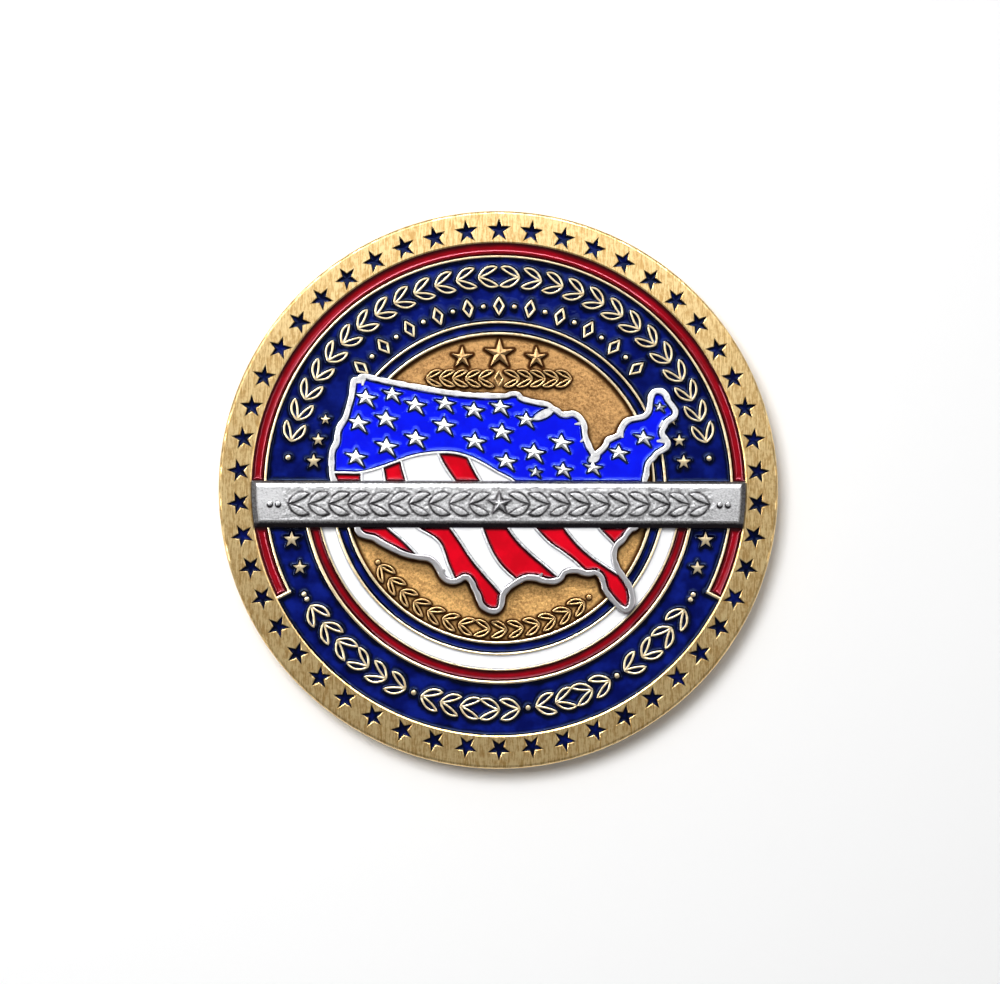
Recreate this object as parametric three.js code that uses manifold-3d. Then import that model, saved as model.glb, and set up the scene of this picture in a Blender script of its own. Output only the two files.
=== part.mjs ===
// Challenge coin, lying on its reverse. Millimetres, +Z out of the obverse, +Y to twelve o'clock.
// A die-struck brass body carries soft-enamel fills, a nickel map plate and a nickel bar.
import * as THREE from 'three';
import { mergeVertices } from 'three/addons/utils/BufferGeometryUtils.js';
import Module from 'manifold-3d';

const wasm = await Module();
wasm.setup();

// ---------------------------------------------------------------- driving sizes

const coin = { radius: 25.4, height: 3.5, shoulder: 0.3, rimInner: 22.43 };

// Heights above the table for each level of the obverse.
const level = {
  cellFloor: 2.6,
  field: 2.9,
  starPocket: 3.1,
  enamel: 3.2,
  line: 3.45,
};

const rimStars = { count: 50, ring: 23.6, size: 1.03 };

// Circles of metal and enamel, from the rim inwards.
const ring = {
  arcLineOuter: 21.32,
  arcLineInner: 21.0,
  redLineOuter: 17.87,
  redLineInner: 17.46,
  redWhiteWall: 16.53,
  lineAOuter: 15.26,
  lineAInner: 14.95,
  lineBOuter: 14.25,
  lineBInner: 13.9,
};

const arcEnd = 116.7;
const arcEndWidth = 0.3;
const thinWall = 0.15;

const bar = {
  top: 0.51,
  bottom: -3.7,
  end: 22.35,
  seat: 3.28,
  face: 4.55,
  ornament: 4.8,
};

// Bevels round the bar's face: how wide each is and how far it falls.
const barBevel = {
  upper: { width: 0.42, drop: 0.22 },
  lower: { width: 0.62, drop: 0.42 },
  end: { width: 0.55, drop: 0.42 },
};

const mapPlate = {
  bed: 2.68,
  cellFloor: 3.4,
  enamel: 3.95,
  wall: 4.1,
  ridge: 4.15,
  ridgeHalf: 0.26,
  wallHalf: 0.07,
  channel: 3.2,
};

const pin = { radius: 0.8, hole: 0.85, tip: 1.6, holeBottom: 1.5 };
const barPins = [[-17.5, -1.6], [17.5, -1.6]];
const mapPins = [[-8.9, 5.4], [4.6, -6.2]];

const reverse = {
  field: 0.5,
  cellFloor: 0.8,
  enamel: 0.28,
  line: 0.08,
  bandInner: 17.6,
  lineWidth: 0.4,
  bigStar: 8.6,
  wreathRing: 13.2,
  wreathCount: 22,
};

const clearance = 0.03;
const filmMargin = 0.4;
const overcut = 0.5;
// Raised work starts this far under the surface it stands on, pins this far inside their plate.
const rooted = 0.1;
const starRooted = 0.05;
const pinRooted = 0.2;
const turnSegments = 60;
const starWaist = 0.4;

// ---------------------------------------------------------------- finishes

function finish(colour, roughness, metalness) {
  return new THREE.MeshStandardMaterial({ color: colour, roughness, metalness });
}

const gold = finish(0xcdb083, 0.35, 1.0);
const nickel = finish(0xb9b9ba, 0.35, 1.0);
const navyEnamel = finish(0x00005a, 0.1, 0.0);
const blueEnamel = finish(0x0000d8, 0.12, 0.0);
const redEnamel = finish(0xc4001c, 0.12, 0.0);
const whiteEnamel = finish(0xf2f2f2, 0.15, 0.0);
const glue = finish(0xd8cfa8, 0.6, 0.0);

// ---------------------------------------------------------------- solids

// A closed geometry becomes a solid; triangles folded flat at a turning axis are dropped.
function solid(geometry) {
  const bare = geometry.index ? geometry.toNonIndexed() : geometry.clone();
  bare.deleteAttribute('normal');
  bare.deleteAttribute('uv');
  const welded = mergeVertices(bare, 1e-4);
  const corners = welded.index.array;
  const kept = [];
  for (let i = 0; i < corners.length; i += 3) {
    const [a, b, c] = corners.slice(i, i + 3);
    if (a !== b && b !== c && c !== a) {
      kept.push(a, b, c);
    }
  }
  return new wasm.Manifold(new wasm.Mesh({
    numProp: 3,
    vertProperties: new Float32Array(welded.attributes.position.array),
    triVerts: new Uint32Array(kept),
  }));
}

function plate(shape, low, high, curveSegments = 12) {
  const depth = high - low;
  const geometry = new THREE.ExtrudeGeometry(shape, { depth, bevelEnabled: false, curveSegments });
  geometry.translate(0, 0, low);
  return solid(geometry);
}

function block(left, bottom, right, top, low, high) {
  const geometry = new THREE.BoxGeometry(right - left, top - bottom, high - low);
  geometry.translate((left + right) / 2, (bottom + top) / 2, (low + high) / 2);
  return solid(geometry);
}

// A profile of [radius, height] pairs turned about the coin's axis.
function turned(profile) {
  const points = profile.map(([radius, height]) => new THREE.Vector2(radius, height));
  const geometry = new THREE.LatheGeometry(points, turnSegments);
  geometry.rotateX(Math.PI / 2);
  return solid(geometry);
}

function post([x, y], radius, low, high) {
  const shape = new THREE.Shape();
  shape.absarc(x, y, radius, 0, 2 * Math.PI, false);
  return plate(shape, low, high, 8);
}

function joined(solids) {
  return wasm.Manifold.union(solids);
}

function part(name, body, material) {
  const mesh = body.getMesh();
  const geometry = new THREE.BufferGeometry();
  geometry.setAttribute('position', new THREE.BufferAttribute(mesh.vertProperties, 3));
  geometry.setIndex(new THREE.BufferAttribute(mesh.triVerts, 1));
  geometry.computeVertexNormals();
  const result = new THREE.Mesh(geometry, material);
  result.name = name;
  return result;
}

// ---------------------------------------------------------------- outlines

const radians = THREE.MathUtils.degToRad;

// Clock angles run clockwise from twelve o'clock.
function clockPoint(radius, clock) {
  const angle = radians(90 - clock);
  return new THREE.Vector2(radius * Math.cos(angle), radius * Math.sin(angle));
}

function sectorPlate(inner, outer, from, to, low, high) {
  const shape = new THREE.Shape();
  shape.absarc(0, 0, outer, radians(90 - from), radians(90 - to), true);
  shape.absarc(0, 0, inner, radians(90 - to), radians(90 - from), false);
  const steps = Math.ceil((to - from) * turnSegments / 360 / 2);
  return plate(shape, low, high, steps);
}

function ringPlate(inner, outer, low, high) {
  const shape = new THREE.Shape();
  shape.absarc(0, 0, outer, 0, 2 * Math.PI, false);
  const hole = new THREE.Path();
  hole.absarc(0, 0, inner, 0, 2 * Math.PI, true);
  shape.holes.push(hole);
  return plate(shape, low, high, turnSegments / 2);
}

// Every ornament is a list of points about its own centre, then turned and moved into place.
function placed(points, x, y, turn) {
  const centre = new THREE.Vector2(x, y);
  return points.map((point) => point.clone().rotateAround(new THREE.Vector2(), turn).add(centre));
}

function starPoints(size, grow = 0) {
  const points = [];
  for (let i = 0; i < 10; i += 1) {
    const radius = i % 2 ? size * starWaist + grow : size + 2.5 * grow;
    points.push(clockPoint(radius, i * 36));
  }
  return points;
}

// A leaf is a long lozenge; grow widens it to the hole it fits in.
function leafPoints(length, width, grow = 0) {
  return [
    new THREE.Vector2(-length / 2 - 2 * grow, 0),
    new THREE.Vector2(0, -width / 2 - grow),
    new THREE.Vector2(length / 2 + 2 * grow, 0),
    new THREE.Vector2(0, width / 2 + grow),
  ];
}

function beadPoints(radius, grow = 0) {
  const points = [];
  for (let i = 0; i < 6; i += 1) {
    points.push(clockPoint(radius + grow, i * 60));
  }
  return points;
}

function prism(points, low, high) {
  return plate(new THREE.Shape(points), low, high);
}

// Points moved sideways off a path; left of the direction of travel is positive.
function offsetPath(points, distance, closed = false) {
  const last = points.length - 1;
  return points.map((point, i) => {
    const before = points[i > 0 ? i - 1 : (closed ? last : 0)];
    const after = points[i < last ? i + 1 : (closed ? 0 : last)];
    const along = after.clone().sub(before).normalize();
    return new THREE.Vector2(point.x - along.y * distance, point.y + along.x * distance);
  });
}

function toVectors(pairs) {
  return pairs.map(([x, y]) => new THREE.Vector2(x, y));
}

// ---------------------------------------------------------------- raised ornament of the obverse

// A sprig is two leaves spread from one root: a dart that points back along its stem.
function sprigPoints(sprig, grow) {
  const tip = sprig.length / 2 + grow;
  const wing = sprig.width / 2 + grow;
  return [
    new THREE.Vector2(-tip - grow, 0),
    new THREE.Vector2(tip, -wing),
    new THREE.Vector2(tip - sprig.notch + grow, 0),
    new THREE.Vector2(tip, wing),
  ];
}

// A laurel spray round the coin: its sprigs grow from both ends towards the middle.
function sprayAlongArc(radius, from, to, count, sprig, grow = 0) {
  const found = [];
  const middle = (from + to) / 2;
  for (let i = 0; i < count; i += 1) {
    const clock = from + (to - from) * (i + 0.5) / count;
    const at = clockPoint(radius, clock);
    const turn = radians(-clock) + (clock < middle ? 0 : Math.PI);
    found.push(placed(sprigPoints(sprig, grow), at.x, at.y, turn));
  }
  return found;
}

const bandSprig = { length: 1.6, width: 1.9, notch: 1.1 };

function upperSpray(grow) {
  return sprayAlongArc(19.3, -78, 78, 26, bandSprig, grow);
}

const lowerSpans = [[123, 146, 4], [150, 170.5, 4], [174.5, 200.5, 5], [204.5, 238, 6]];

function lowerSprays(grow) {
  return lowerSpans.flatMap(([from, to, count]) => (
    sprayAlongArc(20.1, from, to, count, bandSprig, grow)));
}

// Lozenges and beads take turns along the inner row of the upper band.
function innerRow(grow) {
  const found = [];
  const count = 21;
  for (let i = 0; i < count; i += 1) {
    const clock = -49 + 98 * i / (count - 1);
    const at = clockPoint(16.6, clock);
    const points = i % 2 ? beadPoints(0.22, grow) : leafPoints(0.8, 1.5, grow);
    found.push(placed(points, at.x, at.y, radians(-clock)));
  }
  return found;
}

const beadClocks = [-82, 82, 148, 172.5, 202.5];
const doubleBeadClocks = [119.6, 240.4];

function bandBeads(grow) {
  const found = [];
  for (const clock of beadClocks) {
    const at = clockPoint(Math.abs(clock) > 90 ? 20.1 : 19.3, clock);
    found.push(placed(beadPoints(0.26, grow), at.x, at.y, 0));
  }
  for (const clock of doubleBeadClocks) {
    for (const side of [-0.75, 0.75]) {
      const at = clockPoint(20.1, clock + side);
      found.push(placed(beadPoints(0.24, grow), at.x, at.y, 0));
    }
  }
  return found;
}

// Small stars beside the bar: [distance from the centre line, height up the coin, size].
const sideStars = [[15.75, 6.15, 0.5], [16.4, 4.3, 0.62], [16.8, 2.35, 0.72],
  [18.75, -4.75, 0.8], [18.0, -7.3, 0.7]];
const sideBead = [19.05, 2.4, 0.22];

function bandStars(grow) {
  const found = [];
  for (const side of [-1, 1]) {
    for (const [x, y, size] of sideStars) {
      found.push(placed(starPoints(size, grow), side * x, y, 0));
    }
    found.push(placed(beadPoints(sideBead[2], grow), side * sideBead[0], sideBead[1], 0));
  }
  return found;
}

function upperBandOrnament(grow) {
  return [...upperSpray(grow), ...innerRow(grow)];
}

// The field carries a short level spray over the map and a curved one under it.
const fieldSprig = { length: 1.3, width: 1.5, notch: 0.9 };
const fieldRow = { halfWidth: 6.5, y: 9.95, count: 5 };

// A level spray: sprigs grow from both ends towards a gap in the middle.
function levelSpray(halfWidth, y, count, sprig) {
  const found = [];
  for (const way of [-1, 1]) {
    for (let i = 0; i < count; i += 1) {
      const x = way * halfWidth * (i + 1) / (count + 0.5);
      found.push(placed(sprigPoints(sprig, 0), x, y, way < 0 ? 0 : Math.PI));
    }
  }
  return found;
}

function fieldOrnament() {
  return [
    ...levelSpray(fieldRow.halfWidth, fieldRow.y, fieldRow.count, fieldSprig),
    placed(leafPoints(0.7, 1.3), 0, fieldRow.y, 0),
    ...sprayAlongArc(12.9, 143, 237, 14, fieldSprig),
    placed(beadPoints(0.24), 8.15, -9.95, 0),
    placed(beadPoints(0.24), -10.95, -6.8, 0),
  ];
}

// A ridged star: a ten-sided cone whose every second corner is drawn in to the waist.
function ridgedStar(size, x, y, base, rise) {
  const geometry = new THREE.ConeGeometry(size, Math.abs(rise), 10, 1);
  const position = geometry.attributes.position;
  for (let i = 0; i < position.count; i += 1) {
    const angle = Math.atan2(position.getX(i), position.getZ(i));
    const odd = Math.round(angle / (Math.PI / 5)) % 2 !== 0;
    if (odd) {
      position.setX(i, position.getX(i) * starWaist);
      position.setZ(i, position.getZ(i) * starWaist);
    }
  }
  geometry.rotateX(Math.PI / 2);
  if (rise < 0) {
    geometry.rotateX(Math.PI);
  } else {
    geometry.rotateZ(Math.PI);
  }
  geometry.translate(x, y, base + rise / 2);
  return solid(geometry);
}

const fieldStarRise = 0.55;
const fieldStars = [[0.05, 12.25, 1.38], [-3.35, 11.9, 0.99], [3.4, 11.9, 0.99]];

// ---------------------------------------------------------------- map outline

// The coastline down the middle of its ridge, clockwise from the left end of the bar.
const coast = [
  [-15.0, 0.7], [-15.15, 2.0], [-15.1, 3.2], [-14.72, 4.0], [-14.62, 4.9], [-14.4, 5.5],
  [-13.95, 6.2], [-13.65, 7.2], [-13.38, 8.2], [-13.25, 9.2], [-13.15, 9.7], [-12.75, 9.78],
  [-12.3, 10.05], [-11.2, 9.8], [-9.6, 9.45], [-8.0, 9.15], [-6.4, 8.85], [-4.8, 8.58],
  [-3.2, 8.4], [-1.4, 8.28], [0.5, 8.28], [1.05, 8.46], [1.65, 8.44], [2.05, 8.05],
  [2.7, 7.85], [3.6, 7.65], [4.4, 7.5], [4.85, 7.15], [5.3, 6.92], [5.65, 6.62],
  [6.15, 6.58], [6.7, 6.68], [7.2, 6.42], [7.58, 5.95], [7.75, 5.4], [7.78, 4.8],
  [7.95, 4.2], [8.25, 3.5], [8.68, 2.98], [9.2, 3.3], [9.62, 3.75], [9.85, 4.25],
  [10.35, 4.5], [10.85, 4.75], [11.05, 5.25], [11.35, 5.78], [11.8, 6.12], [12.5, 6.3],
  [13.15, 6.45], [13.55, 6.9], [13.7, 7.6], [13.8, 8.3], [14.15, 8.72], [14.7, 8.75],
  [15.12, 8.45], [15.38, 7.9], [15.75, 7.4], [16.02, 6.95], [15.95, 6.5], [15.6, 6.2],
  [15.2, 5.9], [15.0, 5.5], [14.8, 5.15], [14.82, 4.75], [15.08, 4.4], [15.28, 4.05],
  [15.2, 3.65], [14.8, 3.35], [14.3, 3.05], [14.0, 2.65], [13.62, 2.3], [13.42, 1.8],
  [13.35, 1.2], [13.2, 0.6], [12.9, -1.5], [12.45, -3.5], [11.9, -3.85], [11.55, -4.25],
  [11.25, -4.7], [10.8, -5.1], [10.47, -5.55], [10.37, -6.1], [10.43, -6.7], [10.7, -7.4],
  [11.15, -8.05], [11.6, -8.7], [11.9, -9.4], [12.0, -10.2], [11.88, -10.8], [11.5, -11.12],
  [11.05, -11.0], [10.5, -10.5], [9.95, -9.85], [9.55, -9.25], [9.38, -8.6], [9.15, -8.05],
  [8.7, -7.75], [8.1, -7.82], [7.6, -7.75], [7.1, -7.57], [6.4, -7.58], [5.85, -7.82],
  [5.6, -8.25], [5.15, -8.5], [4.5, -8.56], [3.9, -8.45], [3.3, -8.25], [2.5, -8.22],
  [1.9, -8.45], [1.2, -8.88], [0.62, -9.35], [0.3, -9.9], [0.22, -10.55], [0.02, -11.05],
  [-0.4, -11.25], [-1.0, -11.15], [-1.5, -10.8], [-1.76, -10.3], [-1.95, -9.75], [-2.25, -9.2],
  [-2.47, -8.65], [-2.82, -8.25], [-3.2, -8.2], [-3.65, -8.45], [-4.2, -8.58], [-4.8, -8.42],
  [-5.2, -8.0], [-5.48, -7.4], [-5.82, -6.9], [-6.35, -6.52], [-7.0, -6.4], [-7.8, -6.3],
  [-8.7, -6.05], [-9.4, -5.72], [-10.2, -5.32], [-10.85, -4.95], [-11.35, -4.65], [-12.0, -4.5],
  [-12.5, -4.28], [-12.78, -3.9], [-12.9, -3.4], [-13.9, -1.5],
];

// The wave that parts the starry field from the stripes, left to right.
const wave = [
  [-15.6, 1.3], [-14.0, 1.26], [-12.5, 1.27], [-11.0, 1.65], [-9.0, 2.37], [-7.6, 2.82],
  [-6.2, 3.04], [-5.0, 3.12], [-3.8, 3.02], [-2.6, 2.66], [-1.4, 2.06], [-0.2, 1.35], [1.2, 0.6],
  [1.9, -0.2],
];

// Seams between stripes above the bar, each from the wave down to the bar.
const upperSeams = [
  [[-12.45, 1.6], [-12.4, 0.3]],
  [[-10.62, 2.1], [-10.5, 1.4], [-10.3, 0.3]],
  [[-8.95, 2.7], [-8.68, 1.6], [-8.3, 0.3]],
  [[-5.72, 3.4], [-5.1, 2.1], [-4.5, 1.15], [-3.9, 0.3]],
  [[-2.98, 3.2], [-2.5, 2.1], [-2.0, 1.15], [-1.5, 0.3]],
];

// Seams below the bar, each from the bar down to the coast.
const lowerSeams = [
  [[-10.7, -3.0], [-10.1, -3.65], [-9.4, -4.25], [-8.75, -4.8], [-8.2, -5.32], [-7.5, -6.05],
    [-7.1, -6.7]],
  [[-8.3, -3.0], [-7.3, -3.8], [-6.5, -4.25], [-5.8, -4.7], [-5.3, -5.25], [-4.98, -6.0],
    [-4.65, -7.0], [-4.3, -7.8], [-3.9, -8.7]],
  [[-4.85, -3.0], [-4.1, -4.1], [-3.4, -5.1], [-2.8, -6.05], [-2.1, -7.0], [-1.2, -8.05],
    [-0.4, -8.95], [0.6, -10.1]],
  [[-1.8, -3.0], [-1.4, -4.2], [-1.05, -5.1], [-0.6, -6.05], [-0.1, -6.85], [0.6, -7.65],
    [1.8, -8.7]],
  [[0.4, -3.0], [1.1, -4.1], [1.9, -5.1], [2.9, -6.05], [4.0, -6.98], [5.3, -8.1]],
  [[2.7, -3.0], [3.6, -4.15], [4.6, -5.15], [5.7, -5.9], [6.8, -6.75], [7.9, -7.8]],
  [[5.45, -3.0], [6.3, -4.2], [7.2, -5.25], [8.3, -6.25], [9.6, -7.15], [11.4, -8.3]],
  [[8.4, -3.0], [9.2, -3.98], [9.9, -4.7], [10.9, -5.7]],
];

// Raised stars of the field: [across, up, size].
const mapStars = [
  [-12.1, 8.05, 0.95], [-9.7, 8.4, 0.85], [-7.6, 7.4, 0.92], [-12.75, 5.75, 0.95],
  [-10.25, 6.1, 0.95], [-7.55, 4.35, 0.95], [-10.2, 3.65, 0.98], [-12.95, 2.65, 0.92],
  [-4.9, 7.55, 0.88], [-5.0, 5.55, 0.95], [-2.3, 6.95, 0.88], [-2.2, 4.1, 0.95],
  [0.1, 7.25, 0.9], [0.25, 4.95, 0.92], [0.62, 2.3, 0.9], [2.45, 6.1, 0.85],
  [3.15, 3.1, 0.98], [5.65, 4.0, 0.98], [5.8, 1.55, 0.8], [3.3, 1.35, 0.55],
  [8.5, 1.75, 0.8], [10.85, 3.1, 0.9], [13.1, 4.45, 0.85], [14.6, 7.3, 0.5],
];

// Lake-shaped pads in the field: [across, up, length, width, turn].
const mapLakes = [[4.05, 6.62, 2.3, 0.8, 0.46], [8.62, 2.62, 1.25, 0.8, 0.55]];

const coastLine = toVectors(coast);

function coastPlate(grow, low, high) {
  return prism(offsetPath(coastLine, grow, true), low, high);
}

// The flag is waving, so its stars are squat, sheared and long in the lower right arm.
function wavingStar([x, y, size], grow = 0) {
  const points = starPoints(size, grow).map((point) => {
    const reach = point.x > 0 && point.y < -0.5 * size ? 1.2 : 1;
    return new THREE.Vector2(1.06 * point.x * reach, (0.8 * point.y - 0.16 * point.x) * reach);
  });
  return placed(points, x, y, 0);
}

// ---------------------------------------------------------------- bar

// Face ornament: a laurel branch each side of a star, and paired beads at the ends.
const barSprig = { length: 1.7, width: 2.1, notch: 1.15 };
const barMiddle = (bar.top + bar.bottom) / 2;
const barSprayHalf = 19.0;
const barSprigs = 10;
const barBeads = [19.93, 20.67];

function barOrnament() {
  const found = [placed(starPoints(1.15), 0, barMiddle, 0)];
  found.push(...levelSpray(barSprayHalf, barMiddle, barSprigs, barSprig));
  for (const side of [-1, 1]) {
    for (const x of barBeads) {
      found.push(placed(beadPoints(0.22), side * x, barMiddle, 0));
    }
  }
  return found.map((points) => prism(points, bar.face - rooted, bar.ornament));
}

// The bar's cross section runs the full width; its ends are turned to follow the rim.
function makeBar() {
  const { upper, lower, end } = barBevel;
  const section = new THREE.Shape(toVectors([
    [bar.bottom, bar.seat], [bar.top, bar.seat], [bar.top, bar.face - upper.drop],
    [bar.top - upper.width, bar.face], [bar.bottom + lower.width, bar.face],
    [bar.bottom, bar.face - lower.drop],
  ]));
  const length = 2 * coin.radius;
  const stick = new THREE.ExtrudeGeometry(section, { depth: length, bevelEnabled: false });
  stick.translate(0, 0, -length / 2);
  stick.rotateY(Math.PI / 2);
  stick.rotateX(Math.PI / 2);
  const ends = turned([
    [0, bar.seat], [bar.end, bar.seat], [bar.end, bar.face - end.drop],
    [bar.end - end.width, bar.face], [0, bar.face],
  ]);
  const pins = barPins.map((at) => post(at, pin.radius, pin.tip, bar.seat + pinRooted));
  return joined([solid(stick).intersect(ends), ...barOrnament(), ...pins]);
}

function barFootprint(margin, low, high) {
  const disc = turned([[0, low], [bar.end + margin, low], [bar.end + margin, high], [0, high]]);
  const reach = coin.radius;
  return disc.intersect(block(-reach, bar.bottom - margin, reach, bar.top + margin, low, high));
}

// ---------------------------------------------------------------- coin body

const blankProfile = [
  [0, reverse.field], [reverse.bandInner - reverse.lineWidth, reverse.field],
  [reverse.bandInner - reverse.lineWidth, reverse.line], [reverse.bandInner, reverse.line],
  [reverse.bandInner, reverse.cellFloor], [coin.rimInner, reverse.cellFloor],
  [coin.rimInner, 0], [coin.radius - coin.shoulder, 0], [coin.radius, coin.shoulder],
  [coin.radius, coin.height - coin.shoulder], [coin.radius - coin.shoulder, coin.height],
  [coin.rimInner, coin.height],
  [coin.rimInner, level.cellFloor], [ring.lineAOuter, level.cellFloor],
  [ring.lineAOuter, level.line], [ring.lineAInner, level.line],
  [ring.lineAInner, level.cellFloor], [ring.lineBOuter, level.cellFloor],
  [ring.lineBOuter, level.line], [ring.lineBInner, level.line],
  [ring.lineBInner, level.field], [0, level.field],
];

// Half the width of the stop at the end of a red arc, in degrees at the rim.
const arcEndHalf = THREE.MathUtils.radToDeg(arcEndWidth / 2 / coin.rimInner);

// Lines that run only part of the way round, stopped by the bar.
function partLines() {
  const low = level.cellFloor - rooted;
  const wallOuter = ring.redWhiteWall + thinWall / 2;
  const wallInner = ring.redWhiteWall - thinWall / 2;
  const stops = [-arcEnd, arcEnd].map((clock) => (
    sectorPlate(ring.arcLineInner, coin.rimInner + rooted, clock - arcEndHalf, clock + arcEndHalf,
      low, level.line)));
  return [
    ...stops,
    sectorPlate(ring.arcLineInner, ring.arcLineOuter, -arcEnd, arcEnd, low, level.line),
    sectorPlate(ring.redLineInner, ring.redLineOuter, 90, 270, low, level.line),
    sectorPlate(wallInner, wallOuter, 90, 270, low, level.line),
  ];
}

function rimStarPockets() {
  const pockets = [];
  for (let i = 0; i < rimStars.count; i += 1) {
    const clock = i * 360 / rimStars.count;
    const at = clockPoint(rimStars.ring, clock);
    const points = placed(starPoints(rimStars.size), at.x, at.y, radians(-clock));
    pockets.push(prism(points, level.starPocket, coin.height + overcut));
  }
  return joined(pockets);
}

const wreathSprig = { length: 2.6, width: 3.0, notch: 1.8 };
const wreathGap = 12;

// Reverse: a wreath round one large ridged star.
function reverseRelief() {
  const top = reverse.field + starRooted;
  return [
    ...sprayAlongArc(reverse.wreathRing, wreathGap, 360 - wreathGap, reverse.wreathCount, wreathSprig)
      .map((points) => prism(points, reverse.line, top)),
    ridgedStar(reverse.bigStar, 0, 0, top, reverse.line - top),
  ];
}

function makeBody() {
  const inEnamel = [...upperBandOrnament(0), ...lowerSprays(0), ...bandBeads(0), ...bandStars(0)]
    .map((points) => prism(points, level.cellFloor - rooted, level.line));
  const onField = fieldOrnament().map((points) => prism(points, level.field - rooted, level.line));
  const starFoot = level.field - starRooted;
  const ridged = fieldStars.map(([x, y, size]) => ridgedStar(size, x, y, starFoot, fieldStarRise));
  const raised = joined([turned(blankProfile), ...partLines(), ...inEnamel, ...onField, ...ridged]);
  const land = barFootprint(clearance, level.cellFloor - rooted, mapPlate.channel);
  const overLand = barFootprint(clearance, mapPlate.channel, coin.height + overcut);
  const mapPocket = coastPlate(mapPlate.ridgeHalf + clearance, level.cellFloor, coin.height + overcut);
  const holes = [...barPins, ...mapPins]
    .map((at) => post(at, pin.hole, pin.holeBottom, coin.height + overcut));
  return joined([raised, land])
    .subtract(overLand)
    .subtract(mapPocket)
    .subtract(rimStarPockets())
    .subtract(joined(holes))
    .add(joined(reverseRelief()));
}

// ---------------------------------------------------------------- enamel of the obverse

// Where the lower navy runs on to the rim, its two fills overlap by this much.
const edgeOverlap = 0.2;

// A cell fill: the ring sector less everything that stands in it.
function fill(inner, outer, from, to, standing) {
  const c = clearance;
  let body = from === to
    ? ringPlate(inner + c, outer - c, level.cellFloor, level.enamel)
    : sectorPlate(inner + c, outer - c, from, to, level.cellFloor, level.enamel);
  for (const obstacle of standing) {
    body = body.subtract(obstacle);
  }
  return body;
}

function standing(outlines) {
  return joined(outlines.map((points) => prism(points, level.cellFloor - rooted, level.line)));
}

function aboveBar(body, gap = 0) {
  const reach = coin.radius;
  return body.intersect(block(-reach, bar.top + gap, reach, reach, 0, reach));
}

function belowBar(body, gap = 0) {
  const reach = coin.radius;
  return body.intersect(block(-reach, -reach, reach, bar.bottom - gap, 0, reach));
}

// The pieces a fill falls into, largest first, each numbered from one.
function numbered(name, body, material) {
  return body.decompose()
    .sort((a, b) => b.volume() - a.volume())
    .map((piece, i) => part(`${name}_${i + 1}`, piece, material));
}

// The red arcs stop short of the metal that ends them, and so does the navy beyond.
const arcEndClear = arcEndHalf + 0.08;

// Bar and map stand in nearly every cell.
function plateHoles() {
  return [
    barFootprint(2 * clearance, 0, coin.height + overcut),
    coastPlate(mapPlate.ridgeHalf + 2 * clearance, 0, coin.height + overcut),
  ];
}

function makeRedArcs(around) {
  const half = arcEnd - arcEndClear;
  const arc = fill(ring.arcLineOuter, coin.rimInner, -half, half, around);
  const reach = coin.radius;
  const tails = belowBar(arc);
  return [
    part('red_arc_upper', aboveBar(arc), redEnamel),
    part('red_arc_left', tails.intersect(block(-reach, -reach, 0, reach, 0, reach)), redEnamel),
    part('red_arc_right', tails.intersect(block(0, -reach, reach, reach, 0, reach)), redEnamel),
  ];
}

function makeNavyBands(around) {
  const shared = [...bandBeads(clearance), ...bandStars(clearance)];
  const upperWork = standing([...upperBandOrnament(clearance), ...shared]);
  const lowerWork = standing([...lowerSprays(clearance), ...shared]);
  const upper = fill(ring.lineAOuter, ring.arcLineInner, -92, 92, [...around, upperWork]);
  const lower = fill(ring.redLineOuter, ring.arcLineInner, 90, 270, around);
  const edgeStart = arcEnd + arcEndClear;
  const edge = fill(ring.arcLineInner - edgeOverlap, coin.rimInner, edgeStart, 360 - edgeStart, []);
  return [
    part('navy_band_upper', aboveBar(upper), navyEnamel),
    part('navy_band_lower', belowBar(lower.add(edge).subtract(lowerWork)), navyEnamel),
  ];
}

function makeRings(around) {
  const wall = thinWall / 2;
  const navy = fill(ring.lineBOuter, ring.lineAInner, 0, 0, around);
  const white = fill(ring.lineAOuter, ring.redWhiteWall - wall, 90, 270, around);
  const red = fill(ring.redWhiteWall + wall, ring.redLineInner, 90, 270, around);
  return [
    ...numbered('navy_ring_upper', aboveBar(navy), navyEnamel),
    ...numbered('navy_ring_lower', belowBar(navy), navyEnamel),
    part('red_ring_lower', belowBar(red), redEnamel),
    ...numbered('white_ring_lower', belowBar(white), whiteEnamel),
  ];
}

function makeObverseEnamel() {
  const around = plateHoles();
  return [...makeRedArcs(around), ...makeNavyBands(around), ...makeRings(around)];
}

function makeReverseEnamel() {
  const inner = reverse.bandInner + clearance;
  const band = ringPlate(inner, coin.rimInner - clearance, reverse.enamel, reverse.cellFloor);
  return part('reverse_navy_band', band, navyEnamel);
}

// ---------------------------------------------------------------- map plate and its enamel

// A thin standing wall along a seam.
function seamWall(seam, half, low, high) {
  const line = toVectors(seam);
  return prism([...offsetPath(line, half), ...offsetPath(line, -half).reverse()], low, high);
}

// Everything on one side of the wave: above it when way is 1, under it when way is -1.
function waveMask(way, low, high) {
  const reach = coin.radius;
  const edge = offsetPath(toVectors(wave), way * (mapPlate.wallHalf + clearance));
  const corners = toVectors([
    [reach, edge[edge.length - 1].y], [reach, way * reach], [-reach, way * reach], [-reach, edge[0].y],
  ]);
  return prism([...edge, ...corners], low, high);
}

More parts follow.
